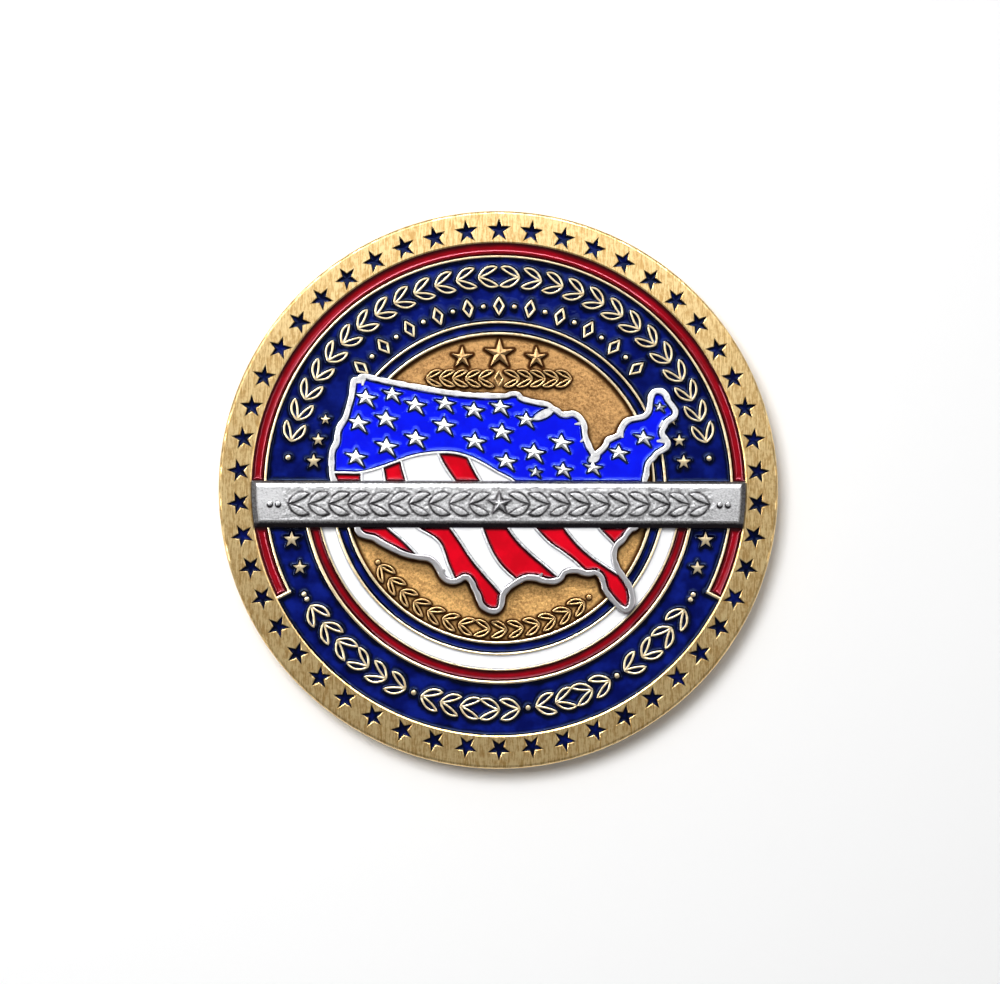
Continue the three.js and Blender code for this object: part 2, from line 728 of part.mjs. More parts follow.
function makeMapPlate() {
  const plateBody = coastPlate(mapPlate.ridgeHalf, mapPlate.bed, mapPlate.ridge);
  const cells = coastPlate(-mapPlate.ridgeHalf, mapPlate.cellFloor, mapPlate.ridge + overcut);
  const low = mapPlate.cellFloor - rooted;
  const waveWall = seamWall(wave, mapPlate.wallHalf, low, mapPlate.wall);
  const seamWalls = joined([...upperSeams, ...lowerSeams]
    .map((seam) => seamWall(seam, mapPlate.wallHalf, low, mapPlate.wall)))
    .intersect(waveMask(-1, low, mapPlate.ridge + overcut));
  const stars = mapStars.map((star) => prism(wavingStar(star), low, mapPlate.ridge));
  const lakes = mapLakes.map(([x, y, length, width, turn]) => (
    prism(placed(leafPoints(length, width), x, y, turn), low, mapPlate.ridge)));
  const inside = joined([waveWall, seamWalls, ...stars, ...lakes])
    .intersect(coastPlate(0, low, mapPlate.ridge + overcut));
  const channel = barFootprint(clearance, mapPlate.channel, mapPlate.ridge + overcut);
  const pins = mapPins.map((at) => post(at, pin.radius, pin.tip, mapPlate.bed + pinRooted));
  return plateBody.subtract(cells).add(inside).subtract(channel).add(joined(pins));
}

// Fills between neighbouring seams; the outermost ones run to the coast.
function stripeFills(seams, bed) {
  const reach = coin.radius;
  const gap = mapPlate.wallHalf + clearance;
  const fills = [];
  for (let i = 0; i <= seams.length; i += 1) {
    const left = i === 0
      ? toVectors([[-reach, reach], [-reach, -reach]])
      : offsetPath(toVectors(seams[i - 1]), gap);
    const right = i === seams.length
      ? toVectors([[reach, reach], [reach, -reach]])
      : offsetPath(toVectors(seams[i]), -gap);
    const mask = prism([...left, ...right.reverse()], 0, 2 * mapPlate.ridge);
    fills.push(bed.intersect(mask));
  }
  return fills;
}

// Stripes take turns, red first.
function stripes(place, fills) {
  return fills.map((body, i) => {
    const colour = i % 2 ? 'white' : 'red';
    const number = Math.floor(i / 2) + 1;
    return part(`map_${colour}_${place}_${number}`, body, i % 2 ? whiteEnamel : redEnamel);
  });
}

function makeMapEnamel() {
  const bed = coastPlate(-mapPlate.ridgeHalf - clearance, mapPlate.cellFloor, mapPlate.enamel);
  const low = 0;
  const high = 2 * mapPlate.ridge;
  const stars = mapStars.map((star) => prism(wavingStar(star, clearance), low, high));
  const lakes = mapLakes.map(([x, y, length, width, turn]) => (
    prism(placed(leafPoints(length, width, clearance), x, y, turn), low, high)));
  const gap = 2 * clearance;
  const above = aboveBar(bed, gap);
  const field = above.intersect(waveMask(1, low, high)).subtract(joined([...stars, ...lakes]));
  const upper = stripeFills(upperSeams, above.intersect(waveMask(-1, low, high)));
  const lower = stripeFills(lowerSeams, belowBar(bed, gap));
  return [
    part('map_blue_field', field, blueEnamel),
    ...stripes('upper', upper),
    ...stripes('lower', lower),
  ];
}

// ---------------------------------------------------------------- glue films

// The map's film is a plain sheet cut well inside the coast.
const mapFilm = [[-14.0, 1.0], [-13.0, 5.5], [-12.4, 8.8], [-2.0, 7.4], [4.5, 6.4], [6.8, 4.8],
  [8.4, 1.8], [12.4, 2.2], [10.6, -3.6], [8.8, -6.8], [4.6, -7.6], [-3.6, -7.4], [-6.6, -5.6],
  [-11.8, -3.6]];

function makeMapFilm() {
  const film = prism(toVectors(mapFilm), level.cellFloor, mapPlate.bed);
  return film.subtract(joined(mapPins.map((at) => post(at, pin.hole, 0, mapPlate.ridge))));
}

function makeBarFilm() {
  const film = barFootprint(-filmMargin, mapPlate.channel, bar.seat);
  return film.subtract(joined(barPins.map((at) => post(at, pin.hole, 0, bar.face))));
}

// ---------------------------------------------------------------- assembly

const group = new THREE.Group();
group.name = 'challenge_coin';
group.add(part('coin_body', makeBody(), gold));
group.add(...makeObverseEnamel());
group.add(part('map_plate', makeMapPlate(), nickel));
group.add(...makeMapEnamel());
group.add(part('map_glue_film', makeMapFilm(), glue));
group.add(part('bar_plate', makeBar(), nickel));
group.add(part('bar_glue_film', makeBarFilm(), glue));
group.add(makeReverseEnamel());

export default group;
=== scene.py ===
import math
import bpy
import numpy as np
from mathutils import Matrix, Vector


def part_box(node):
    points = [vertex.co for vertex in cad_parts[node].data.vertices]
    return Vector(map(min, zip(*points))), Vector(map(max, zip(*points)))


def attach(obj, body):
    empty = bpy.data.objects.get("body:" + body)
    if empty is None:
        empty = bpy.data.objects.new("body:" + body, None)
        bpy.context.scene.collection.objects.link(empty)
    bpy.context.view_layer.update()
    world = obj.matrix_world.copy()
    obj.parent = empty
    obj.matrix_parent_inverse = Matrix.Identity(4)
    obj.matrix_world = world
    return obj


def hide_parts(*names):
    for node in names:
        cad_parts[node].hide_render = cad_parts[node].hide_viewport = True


# A two-inch challenge coin: struck gold body, enamel pools, a nickel map and a nickel bar across it.
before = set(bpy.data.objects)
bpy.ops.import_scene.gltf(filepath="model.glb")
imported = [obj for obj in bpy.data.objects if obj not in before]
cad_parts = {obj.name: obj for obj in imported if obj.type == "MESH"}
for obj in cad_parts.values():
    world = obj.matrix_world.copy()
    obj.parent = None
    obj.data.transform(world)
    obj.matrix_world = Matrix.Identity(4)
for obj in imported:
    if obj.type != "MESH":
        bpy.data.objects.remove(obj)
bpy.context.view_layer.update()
print("stage: frame loaded")

# Lengths below are in millimetres of a 50.8 mm coin; unit turns them into metres at the frame's size.
designRadius = 25.4
unit = (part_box("coin_body")[1].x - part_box("coin_body")[0].x) / 2 / designRadius


def low(node, axis=2):
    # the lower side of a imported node's box, in millimetres
    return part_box(node)[0][axis] / unit


def high(node, axis=2):
    # the upper side of the same box
    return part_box(node)[1][axis] / unit


level = {
    "rimTop": high("coin_body"),
    "cellFloor": low("navy_band_upper"),
    "enamel": high("navy_band_upper"),
    "line": high("coin_body") - 0.05,
    "field": high("coin_body") - 0.6,
    "mapBed": low("map_glue_film"),
    "mapEnamel": high("map_blue_field"),
    "mapFloor": low("map_blue_field"),
    "mapRidge": high("map_plate"),
    "barSeat": high("bar_glue_film"),
    "barTop": high("bar_plate"),
    "reverseEnamel": low("reverse_navy_band"),
    "reverseCell": high("reverse_navy_band"),
}
barSouth = low("bar_plate", 1)
barNorth = high("bar_plate", 1)
barMiddle = (barSouth + barNorth) / 2
rimInner = high("reverse_navy_band", 0) + 0.03


def clockPoint(radius, clock):
    # clock angles run clockwise from twelve: x is r sin a, y is r cos a
    angle = np.radians(clock)
    return np.stack([radius * np.sin(angle), radius * np.cos(angle)], -1)


def turned(points, clock, centre):
    # a flat shape turned clockwise by clock degrees, then moved to its centre
    angle = np.radians(clock)
    c, s = np.cos(angle), np.sin(angle)
    x = points[..., 0] * c + points[..., 1] * s
    y = points[..., 1] * c - points[..., 0] * s
    return np.stack([x + centre[0], y + centre[1]], -1)


def smoothPath(points, spacing, closed):
    # Catmull-Rom through the points, then read off again at an even spacing along its length
    p = np.array(points, float)
    if closed:
        before, after, later = np.roll(p, 1, 0), np.roll(p, -1, 0), np.roll(p, -2, 0)
        start = p
    else:
        ends = np.vstack([2 * p[0] - p[1], p, 2 * p[-1] - p[-2]])
        before, start, after, later = ends[:-3], ends[1:-2], ends[2:-1], ends[3:]
    t = np.linspace(0, 1, 12, endpoint=False)[None, :, None]
    a, b, c, d = (q[:, None, :] for q in (before, start, after, later))
    curve = 0.5 * (2 * b + (c - a) * t + (2 * a - 5 * b + 4 * c - d) * t ** 2
                   + (3 * b - a - 3 * c + d) * t ** 3)
    curve = np.vstack([curve.reshape(-1, 2), p[:1] if closed else p[-1:]])
    along = np.concatenate([[0], np.cumsum(np.hypot(*np.diff(curve, axis=0).T))])
    count = max(int(round(along[-1] / spacing)), 3)
    at = np.linspace(0, along[-1], count + 1)
    even = np.stack([np.interp(at, along, curve[:, 0]), np.interp(at, along, curve[:, 1])], -1)
    return even[:-1] if closed else even


def leftward(path, closed, blur=1):
    # unit normals to the left of travel, each averaged over a few neighbours
    if closed:
        along = np.roll(path, -1, 0) - np.roll(path, 1, 0)
    else:
        along = np.gradient(path, axis=0)
    normal = np.stack([-along[:, 1], along[:, 0]], -1)
    for _ in range(blur):
        if closed:
            normal = normal + 0.5 * (np.roll(normal, 1, 0) + np.roll(normal, -1, 0))
    return normal / np.hypot(normal[:, 0], normal[:, 1])[:, None]


def distanceTo(x, y, path, closed=False):
    # distance from every point to a path, positive on its left; segment by segment, whole arrays at a time
    best = np.full(x.shape, 1e9)
    side = np.ones(x.shape)
    ends = np.vstack([path, path[:1]]) if closed else path
    for (ax, ay), (bx, by) in zip(ends[:-1], ends[1:]):
        dx, dy = bx - ax, by - ay
        t = np.clip(((x - ax) * dx + (y - ay) * dy) / (dx * dx + dy * dy), 0, 1)
        gap = (x - ax - t * dx) ** 2 + (y - ay - t * dy) ** 2
        cross = dx * (y - ay) - dy * (x - ax)
        nearer = gap < best - 1e-12
        best = np.where(nearer, gap, best)
        side = np.where(nearer, np.where(cross >= 0, 1.0, -1.0), side)
    return np.sqrt(best) * side


def insideOf(x, y, path):
    # even-odd rule: count the crossings of a ray that runs to the right
    odd = np.zeros(x.shape, bool)
    for (ax, ay), (bx, by) in zip(path, np.roll(path, -1, 0)):
        if ay != by:
            crosses = (ay > y) != (by > y)
            odd ^= crosses & (x < ax + (y - ay) * (bx - ax) / (by - ay))
    return odd


def valueNoise(x, y, cell, seed):
    # random heights on a lattice, eased between its corners
    table = np.random.RandomState(seed).rand(256, 256)
    gx, gy = x / cell + 1000.0, y / cell + 1000.0
    ix, iy = np.floor(gx).astype(int), np.floor(gy).astype(int)
    fx, fy = gx - ix, gy - iy
    fx, fy = fx * fx * (3 - 2 * fx), fy * fy * (3 - 2 * fy)
    pick = lambda i, j: table[i % 256, j % 256]
    south = pick(ix, iy) * (1 - fx) + pick(ix + 1, iy) * fx
    north = pick(ix, iy + 1) * (1 - fx) + pick(ix + 1, iy + 1) * fx
    return south * (1 - fy) + north * fy


def eased(value, start, end):
    # 0 before the start, 1 past the end, and 3t^2 - 2t^3 between them
    t = np.clip((value - start) / (end - start), 0, 1)
    return t * t * (3 - 2 * t)


def tidied(faces):
    # quads that have lost a corner at a pole become triangles
    faces = np.asarray(faces)
    if faces.shape[1] == 3:
        return [faces]
    same = faces == np.roll(faces, -1, 1)
    whole = faces[~same.any(1)]
    folded = faces[same.sum(1) == 1]
    corner = np.argmax(folded == np.roll(folded, -1, 1), 1)
    kept = (corner[:, None] + np.array([1, 2, 3])) % 4
    return [whole, np.take_along_axis(folded, kept, 1)]


def welded(vertices, faces):
    # vertices that share a place become one
    _, first, back = np.unique(np.round(vertices, 5), axis=0, return_index=True, return_inverse=True)
    return vertices[first], [part for f in faces for part in tidied(back.reshape(-1)[f])]


def volumeOf(vertices, faces):
    # a sixth of the sum of a . (b x c) over the triangles of every face
    total = 0.0
    for f in faces:
        for k in range(2, f.shape[1]):
            a, b, c = vertices[f[:, 0]], vertices[f[:, k - 1]], vertices[f[:, k]]
            total += np.einsum("ij,ij->", a, np.cross(b, c))
    return total / 6


allPieces = []


def makePiece(name, vertices, faces, finish, slot, replaced=(), attributes=None, sharp=35):
    # one object at the origin, its place in its mesh, riding on the coin's only body
    faces = [f for f in faces if len(f)]
    if volumeOf(vertices, faces) < 0:
        faces = [f[:, ::-1] for f in faces]
    mesh = bpy.data.meshes.new(name)
    corners = np.concatenate([f.ravel() for f in faces])
    sizes = np.concatenate([np.full(len(f), f.shape[1]) for f in faces])
    mesh.vertices.add(len(vertices))
    mesh.vertices.foreach_set("co", (vertices * unit).astype(np.float32).ravel())
    mesh.loops.add(len(corners))
    mesh.loops.foreach_set("vertex_index", corners.astype(np.int32))
    mesh.polygons.add(len(sizes))
    starts = np.concatenate([[0], np.cumsum(sizes)[:-1]])
    mesh.polygons.foreach_set("loop_start", starts.astype(np.int32))
    mesh.polygons.foreach_set("loop_total", sizes.astype(np.int32))
    mesh.update(calc_edges=True)
    mesh.validate()
    mesh.shade_smooth()
    mesh.set_sharp_from_angle(angle=math.radians(sharp))
    for key, values in (attributes or {}).items():
        mesh.attributes.new(key, "FLOAT", "POINT").data.foreach_set("value", values.astype(np.float32))
    piece = bpy.data.objects.new(name, mesh)
    bpy.context.scene.collection.objects.link(piece)
    mesh.materials.append(finishes[finish])
    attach(piece, "root")
    if replaced:
        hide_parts(*replaced)
    allPieces.append((name, len(vertices)))


def gathered(parts):
    # several shells in one mesh
    vertices, faces, base = [], [], 0
    for v, fs in parts:
        vertices.append(v)
        faces.extend(f + base for f in fs if len(f))
        base += len(v)
    return np.vstack(vertices), faces


def gridFaces(rows, cols, wrapRows=False, wrapCols=False):
    # the quads of a grid of vertices; a wrapped side is joined back to its start
    index = np.arange(rows * cols).reshape(rows, cols)
    if wrapRows:
        index = np.vstack([index, index[:1]])
    if wrapCols:
        index = np.hstack([index, index[:, :1]])
    return np.stack([index[:-1, :-1], index[1:, :-1], index[1:, 1:], index[:-1, 1:]], -1)


def discGrid(radius, count):
    # a square grid bent onto a disc: x = r u sqrt(1 - v^2 / 2) and y = r v sqrt(1 - u^2 / 2)
    side = np.linspace(-1, 1, count)
    u, v = np.meshgrid(side, side)
    return radius * u * np.sqrt(1 - v * v / 2), radius * v * np.sqrt(1 - u * u / 2)


def slab(x, y, top, floor, keep=None):
    # a sheet over a grid, its flat underside, and a wall along each free edge
    quads = gridFaces(*x.shape)
    quads = quads[keep] if keep is not None else quads.reshape(-1, 4)
    count = x.size
    edges = np.concatenate([quads[:, [i, (i + 1) % 4]] for i in range(4)])
    code = edges.min(1) * count + edges.max(1)
    _, back, uses = np.unique(code, return_inverse=True, return_counts=True)
    free = edges[uses[back.reshape(-1)] == 1]
    walls = np.stack([free[:, 1], free[:, 0], free[:, 0] + count, free[:, 1] + count], 1)
    faces = np.vstack([quads, quads[:, ::-1] + count, walls])
    upper = np.stack([x.ravel(), y.ravel(), top.ravel()], 1)
    lower = np.stack([x.ravel(), y.ravel(), np.full(count, floor)], 1)
    used, renumbered = np.unique(faces, return_inverse=True)
    return np.vstack([upper, lower])[used], [renumbered.reshape(faces.shape)], used % count


def swept(path, profile, closed, blur=1, swell=1.0):
    # a closed profile of (side, height) carried along a flat path; swell widens it from place to place
    normal = leftward(path, closed, blur)
    side, height = profile[:, 0], profile[:, 1]
    reach = side[None, :] * np.broadcast_to(swell, len(path))[:, None]
    flat = path[:, None, :] + normal[:, None, :] * reach[..., None]
    rise = np.broadcast_to(height, flat.shape[:2])
    vertices = np.concatenate([flat, rise[..., None]], -1).reshape(-1, 3)
    rows, cols = len(path), len(profile)
    faces = [gridFaces(rows, cols, closed, True).reshape(-1, 4)]
    if not closed:
        first = np.arange(cols)
        last = first + (rows - 1) * cols
        faces += [fanFaces(first[::-1]), fanFaces(last)]
    return vertices, faces


def fanFaces(ring):
    # a ring of vertices closed by triangles from its first one
    return np.stack([np.full(len(ring) - 2, ring[0]), ring[1:-1], ring[2:]], 1)[:, ::-1]


def roundTop(width, foot, top, edge):
    # a wall's section: straight sides and a top whose corners are eased over the edge length
    half = width / 2
    return np.array([[-half, foot], [-half, top - edge], [-half + 0.3 * edge, top - 0.3 * edge],
                     [-half + edge, top], [half - edge, top], [half - 0.3 * edge, top - 0.3 * edge],
                     [half, top - edge], [half, foot]])


def lathe(profile, clocks, wrap=True):
    # (radius, height) points turned about the axis at each clock angle; the profile closes on itself
    flat = clockPoint(profile[None, :, 0], clocks[:, None])
    rise = np.broadcast_to(profile[:, 1], flat.shape[:2])
    vertices = np.concatenate([flat, rise[..., None]], -1).reshape(-1, 3)
    rows, cols = len(clocks), len(profile)
    faces = [gridFaces(rows, cols, wrap, True).reshape(-1, 4)]
    if not wrap:
        first = np.arange(cols)
        faces += [fanFaces(first[::-1]), fanFaces(first + (rows - 1) * cols)]
    return vertices, faces


def ringLine(inner, outer, foot, top, edge, start=None, end=None):
    # a round wall between two radii, all the way or from one clock angle to another
    profile = roundTop(outer - inner, foot, top, edge) + [(inner + outer) / 2, 0]
    if start is None:
        return lathe(profile, np.arange(0, 360, 0.6))
    return lathe(profile, np.linspace(start, end, int((end - start) / 0.6) + 2), wrap=False)


def stacked(outlines, heights, apex):
    # outlines one above another, the last one closed by a fan up to a point and the first by a flat fan
    count = len(outlines[0])
    rings = [np.column_stack([o, np.full(count, h)]) for o, h in zip(outlines, heights)]
    centre = outlines[-1].mean(0)
    vertices = np.vstack(rings + [[[*centre, apex]], [[*outlines[0].mean(0), heights[0]]]])
    layers = len(outlines)
    quads = gridFaces(layers, count, False, True).reshape(-1, 4)
    index = np.arange(count)
    following = np.roll(index, -1)
    topFan = np.stack([index + (layers - 1) * count, following + (layers - 1) * count,
                       np.full(count, layers * count)], 1)
    floorFan = np.stack([following, index, np.full(count, layers * count + 1)], 1)
    return vertices, [quads[:, ::-1], topFan, floorFan]


def starOutline(size, waist=0.4, steps=1):
    # ten corners, tips and waists in turn, with straight sides cut into steps
    radius = np.where(np.arange(10) % 2, size * waist, size)
    corners = clockPoint(radius, np.arange(10) * 36.0)
    t = (np.arange(steps) / steps)[None, :, None]
    return (corners[:, None] * (1 - t) + np.roll(corners, -1, 0)[:, None] * t).reshape(-1, 2)


def shrunk(outline, amount):
    # an outline drawn in towards its centre by a share of its size
    centre = outline.mean(0)
    return centre + (outline - centre) * (1 - amount)


print("stage: tools ready")


class Wire:
    # a shader socket that can stand in sums: each operator adds a Math node
    def __init__(self, finish, socket):  # the finish it belongs to and one output socket
        self.finish = finish
        self.socket = socket

    def join(self, operation, a, b):
        # a Math node on two numbers or sockets
        return self.finish.add("ShaderNodeMath", {"operation": operation}, {0: a, 1: b})

    def __add__(self, other):  # wire + other
        return self.join("ADD", self, other)

    def __radd__(self, other):  # other + wire
        return self.join("ADD", other, self)

    def __sub__(self, other):  # wire - other
        return self.join("SUBTRACT", self, other)

    def __rsub__(self, other):  # other - wire
        return self.join("SUBTRACT", other, self)

    def __mul__(self, other):  # wire times other
        return self.join("MULTIPLY", self, other)

    def __rmul__(self, other):  # other times wire
        return self.join("MULTIPLY", other, self)


class Finish:
    # one material: add() makes every node, shine() ends it in a Principled shader
    def __init__(self, name):  # a material whose node tree is empty
        self.material = bpy.data.materials.new(name)
        self.material.use_nodes = True
        self.tree = self.material.node_tree
        self.tree.nodes.clear()

    def add(self, kind, settings=None, values=None, output=0):
        # a node of any kind: its settings first, then a number or a link for each socket named
        node = self.tree.nodes.new(kind)
        for key, value in (settings or {}).items():
            setattr(node, key, value)
        for key, value in (values or {}).items():
            if isinstance(value, Wire):
                self.tree.links.new(value.socket, node.inputs[key])
            else:
                node.inputs[key].default_value = value
        return Wire(self, node.outputs[output])

    def place(self, stretch=(1, 1, 1)):
        # the object's own coordinates in millimetres, stretched where a grain runs one way
        where = self.add("ShaderNodeTexCoord", output=3)
        scale = tuple(s / unit for s in stretch)
        return self.add("ShaderNodeVectorMath", {"operation": "MULTIPLY"}, {0: where, 1: scale})

    def noise(self, where, scale, detail=2.0, roughness=0.5):
        # cloudy values about 0.5; scale is roughly clouds for each millimetre
        return self.add("ShaderNodeTexNoise", None, {
            "Vector": where, "Scale": scale, "Detail": detail, "Roughness": roughness})

    def along(self, axis):
        # one coordinate in millimetres: 0 is east, 1 north and 2 the height above the table
        return self.add("ShaderNodeSeparateXYZ", None, {0: self.place()}, output=axis)

    def between(self, value, start, end):
        # 0 at the start and 1 at the end, eased; the end may be the smaller
        return self.add("ShaderNodeMapRange", {"interpolation_type": "SMOOTHSTEP"}, {
            "Value": value, "From Min": start, "From Max": end, "To Min": 0.0, "To Max": 1.0})

    def attribute(self, name):
        # a number stored on the mesh's points
        return self.add("ShaderNodeAttribute", {"attribute_name": name}, output=2)

    def mix(self, factor, first, second):
        # the first colour where the factor is 0, the second where it is 1
        first = (*first, 1) if isinstance(first, tuple) else first
        second = (*second, 1) if isinstance(second, tuple) else second
        return self.add("ShaderNodeMix", {"data_type": "RGBA"}, {0: factor, 6: first, 7: second}, output=2)

    def bump(self, height, distance, strength=1.0):
        # a normal tilted by a height of so many millimetres
        return self.add("ShaderNodeBump", None, {
            "Strength": strength, "Distance": distance * unit, "Height": height})

    def shine(self, **sockets):
        # the Principled shader that ends every finish
        names = {"colour": "Base Color", "rough": "Roughness", "metal": "Metallic", "normal": "Normal",
                 "specular": "Specular IOR Level", "tint": "Specular Tint"}
        values = {names[key]: (*value, 1) if isinstance(value, tuple) else value
                  for key, value in sockets.items()}
        shader = self.add("ShaderNodeBsdfPrincipled", None, values)
        out = self.tree.nodes.new("ShaderNodeOutputMaterial")
        self.tree.links.new(shader.socket, out.inputs["Surface"])
        return self.material


rimLook = {
    "pale": (0.97, 0.73, 0.355), "tan": (0.66, 0.395, 0.135), "brown": (0.02, 0.012, 0.01),
    "side": (0.84, 0.60, 0.29),
    "roughLow": 0.24, "roughHigh": 0.34,
}


def makeRimGold():
    # brushed antique gold: the brush ran up and down the coin, so the grain is long in y
    f = Finish("rimGold")
    fine = f.noise(f.place((7.5, 0.9, 2.0)), 1.0, 3.0, 0.7)
    broad = f.noise(f.place((3.0, 0.5, 0.5)), 1.0, 3.0, 0.6)
    cloud = f.noise(f.place(), 2.6, 5.0, 0.7)
    grain = fine * 0.5 + broad * 0.25 + cloud * 0.25
    colour = f.mix(f.between(grain, 0.42, 0.56), rimLook["tan"], rimLook["pale"])
    colour = f.mix(f.attribute("plain") * 0.75, colour, rimLook["side"])
    # patina and painted shade darken the star pockets and the inner wall
    colour = f.mix(f.attribute("patinaAndShade"), colour, rimLook["brown"])
    rough = rimLook["roughLow"] + grain * (rimLook["roughHigh"] - rimLook["roughLow"])
    return f.shine(colour=colour, metal=1.0, rough=rough, normal=f.bump(grain, 0.02, 0.3))


lineLook = {"bright": (0.96, 0.80, 0.52), "deep": (0.70, 0.50, 0.26), "foot": (0.06, 0.03, 0.012)}
reliefLook = {"bright": (0.68, 0.44, 0.20), "deep": (0.50, 0.30, 0.12), "foot": (0.05, 0.02, 0.006)}
fieldStarLook = {"bright": (0.50, 0.31, 0.14), "deep": (0.26, 0.14, 0.055), "foot": (0.03, 0.011, 0.004)}


def makeLineGold(name, top, depth, look=lineLook):
    # polished tops, brown antiquing left down the sides
    f = Finish(name)
    spots = f.noise(f.place(), 2.2, 4.0, 0.6)
    shade = f.between(f.along(2), top - depth, top - 0.04)
    worn = f.mix(f.between(spots, 0.45, 0.75), look["bright"], look["deep"])
    colour = f.mix(shade, look["foot"], worn)
    rough = 0.24 + spots * 0.14
    return f.shine(colour=colour, metal=1.0, rough=rough, normal=f.bump(spots, 0.01, 0.3))


fieldLook = {
    "light": (0.60, 0.345, 0.135), "middle": (0.29, 0.15, 0.055), "dark": (0.06, 0.02, 0.006),
    "lightLow": (0.86, 0.52, 0.19), "middleLow": (0.42, 0.225, 0.08), "grain": 6.0, "depth": 0.05,
}


def makeFieldGold():
    # sand-blasted bronze: fine pits, blotches of wear, brown patina where the patinaAndShade attribute says
    # so
    f = Finish("fieldGold")
    pits = f.noise(f.place(), fieldLook["grain"], 3.0, 0.7)
    blotch = f.noise(f.place(), 0.9, 4.0, 0.6)
    speck = f.noise(f.place(), 3.4, 2.0, 0.5)
    tone = f.between(pits * 0.5 + blotch * 0.3 + speck * 0.3, 0.42, 0.66)
    # the lower half is brighter than the upper
    brighterSouth = f.between(f.along(1), 5.0, -5.0)
    light = f.mix(brighterSouth, fieldLook["light"], fieldLook["lightLow"])
    colour = f.mix(tone, f.mix(brighterSouth, fieldLook["middle"], fieldLook["middleLow"]), light)
    patinaAndShade = f.attribute("patinaAndShade") + (pits - 0.5) * 0.3
    colour = f.mix(f.between(patinaAndShade, 0.15, 0.95), colour, fieldLook["dark"])
    rough = 0.42 + pits * 0.2
    sand = f.bump(pits * 0.7 + speck * 0.5, fieldLook["depth"], 0.8)
    return f.shine(colour=colour, metal=1.0, rough=rough, normal=sand)


# bright and grey mottle the nickel; black is painted shade at the foot of its walls, low the grey painted as
# shade on the southern coast
nickelLook = {
    "bright": (0.95, 0.95, 0.96), "grey": (0.66, 0.66, 0.68), "black": (0.025, 0.02, 0.025),
    "low": (0.43, 0.415, 0.43),
}


def makeMapNickel(name, top, depth, southShadeStrength):
    # bright struck nickel, hand-finished, with painted shade at the foot of its walls and, as much as
    # southShadeStrength says, painted shade greying it towards the south
    f = Finish(name)
    cloud = f.noise(f.place(), 1.6, 3.0, 0.55)
    fine = f.noise(f.place(), 9.0, 2.0, 0.5)
    colour = f.mix(f.between(cloud * 0.7 + fine * 0.3, 0.45, 0.65), nickelLook["bright"], nickelLook["grey"])
    # painted shade: the coast ridge greys towards the south, where the light falls off
    southShade = f.between(f.along(1) + cloud * 3.0, 3.5, -4.5)
    colour = f.mix(southShade * southShadeStrength, colour, nickelLook["low"])
    # painted shade at the foot of the walls
    shade = f.between(f.along(2), top - depth, top - 0.07)
    colour = f.mix(shade, nickelLook["black"], colour)
    tooled = f.bump(cloud * 0.7 + fine * 0.3, 0.03, 0.35)
    return f.shine(colour=colour, metal=1.0, rough=0.24 + fine * 0.22, normal=tooled)


barSilver = {"bright": (0.74, 0.74, 0.75), "grey": (0.50, 0.50, 0.51), "black": (0.03, 0.025, 0.03)}


def makeBarNickel():
    # antique nickel: stippled face with black left in the pits and round the relief, plus the painted shade
    # and painted highlight that barPatinaAndShade puts in the patinaAndShade attribute
    f = Finish("barNickel")
    pits = f.noise(f.place(), 5.5, 3.0, 0.65)
    cloud = f.noise(f.place(), 0.5, 3.0, 0.5)
    tone = f.between(pits * 0.75 + cloud * 0.25, 0.36, 0.56)
    colour = f.mix(tone, barSilver["grey"], barSilver["bright"])
    patinaAndShade = f.attribute("patinaAndShade") + (0.5 - pits) * 0.4
    colour = f.mix(f.between(patinaAndShade, 0.1, 1.0), colour, barSilver["black"])
    return f.shine(colour=colour, metal=1.0, rough=0.3 + pits * 0.2, normal=f.bump(pits, 0.035, 0.7))


# deep is the painted shade beside the metal, while body and light cloud the rest; weight and tint are the
# skin's shine, wanderingShade is how far the painted dark edge wanders and wave how far the skin ripples
enamelLook = {
    "navy": {"deep": (0.0003, 0.0003, 0.006), "body": (0.001, 0.003, 0.085), "light": (0.004, 0.012, 0.20),
             "weight": 0.45, "tint": (0.22, 0.34, 0.90), "wanderingShade": 1.6, "wave": 0.06},
    "blue": {"deep": (0.0, 0.0, 0.02), "body": (0.0, 0.0, 0.80), "light": (0.0, 0.004, 0.95),
             "weight": 1.0, "tint": (0.30, 0.54, 1.0), "wanderingShade": 0.3, "wave": 0.03},
    "red": {"deep": (0.006, 0.0, 0.001), "body": (0.62, 0.0, 0.008), "light": (0.80, 0.0, 0.012),
            "weight": 0.6, "tint": (1.0, 0.35, 0.48), "wanderingShade": 0.5, "wave": 0.03},
    "ruby": {"deep": (0.03, 0.0, 0.0), "body": (0.24, 0.0, 0.003), "light": (0.36, 0.0, 0.008),
             "weight": 0.8, "tint": (1.0, 0.28, 0.38), "wanderingShade": 0.5, "wave": 0.03},
    "white": {"deep": (0.50, 0.50, 0.56), "body": (0.95, 0.95, 0.96), "light": (0.98, 0.98, 0.98),
              "weight": 0.5, "tint": (1.0, 1.0, 1.0), "wanderingShade": 0.0, "wave": 0.03},
}


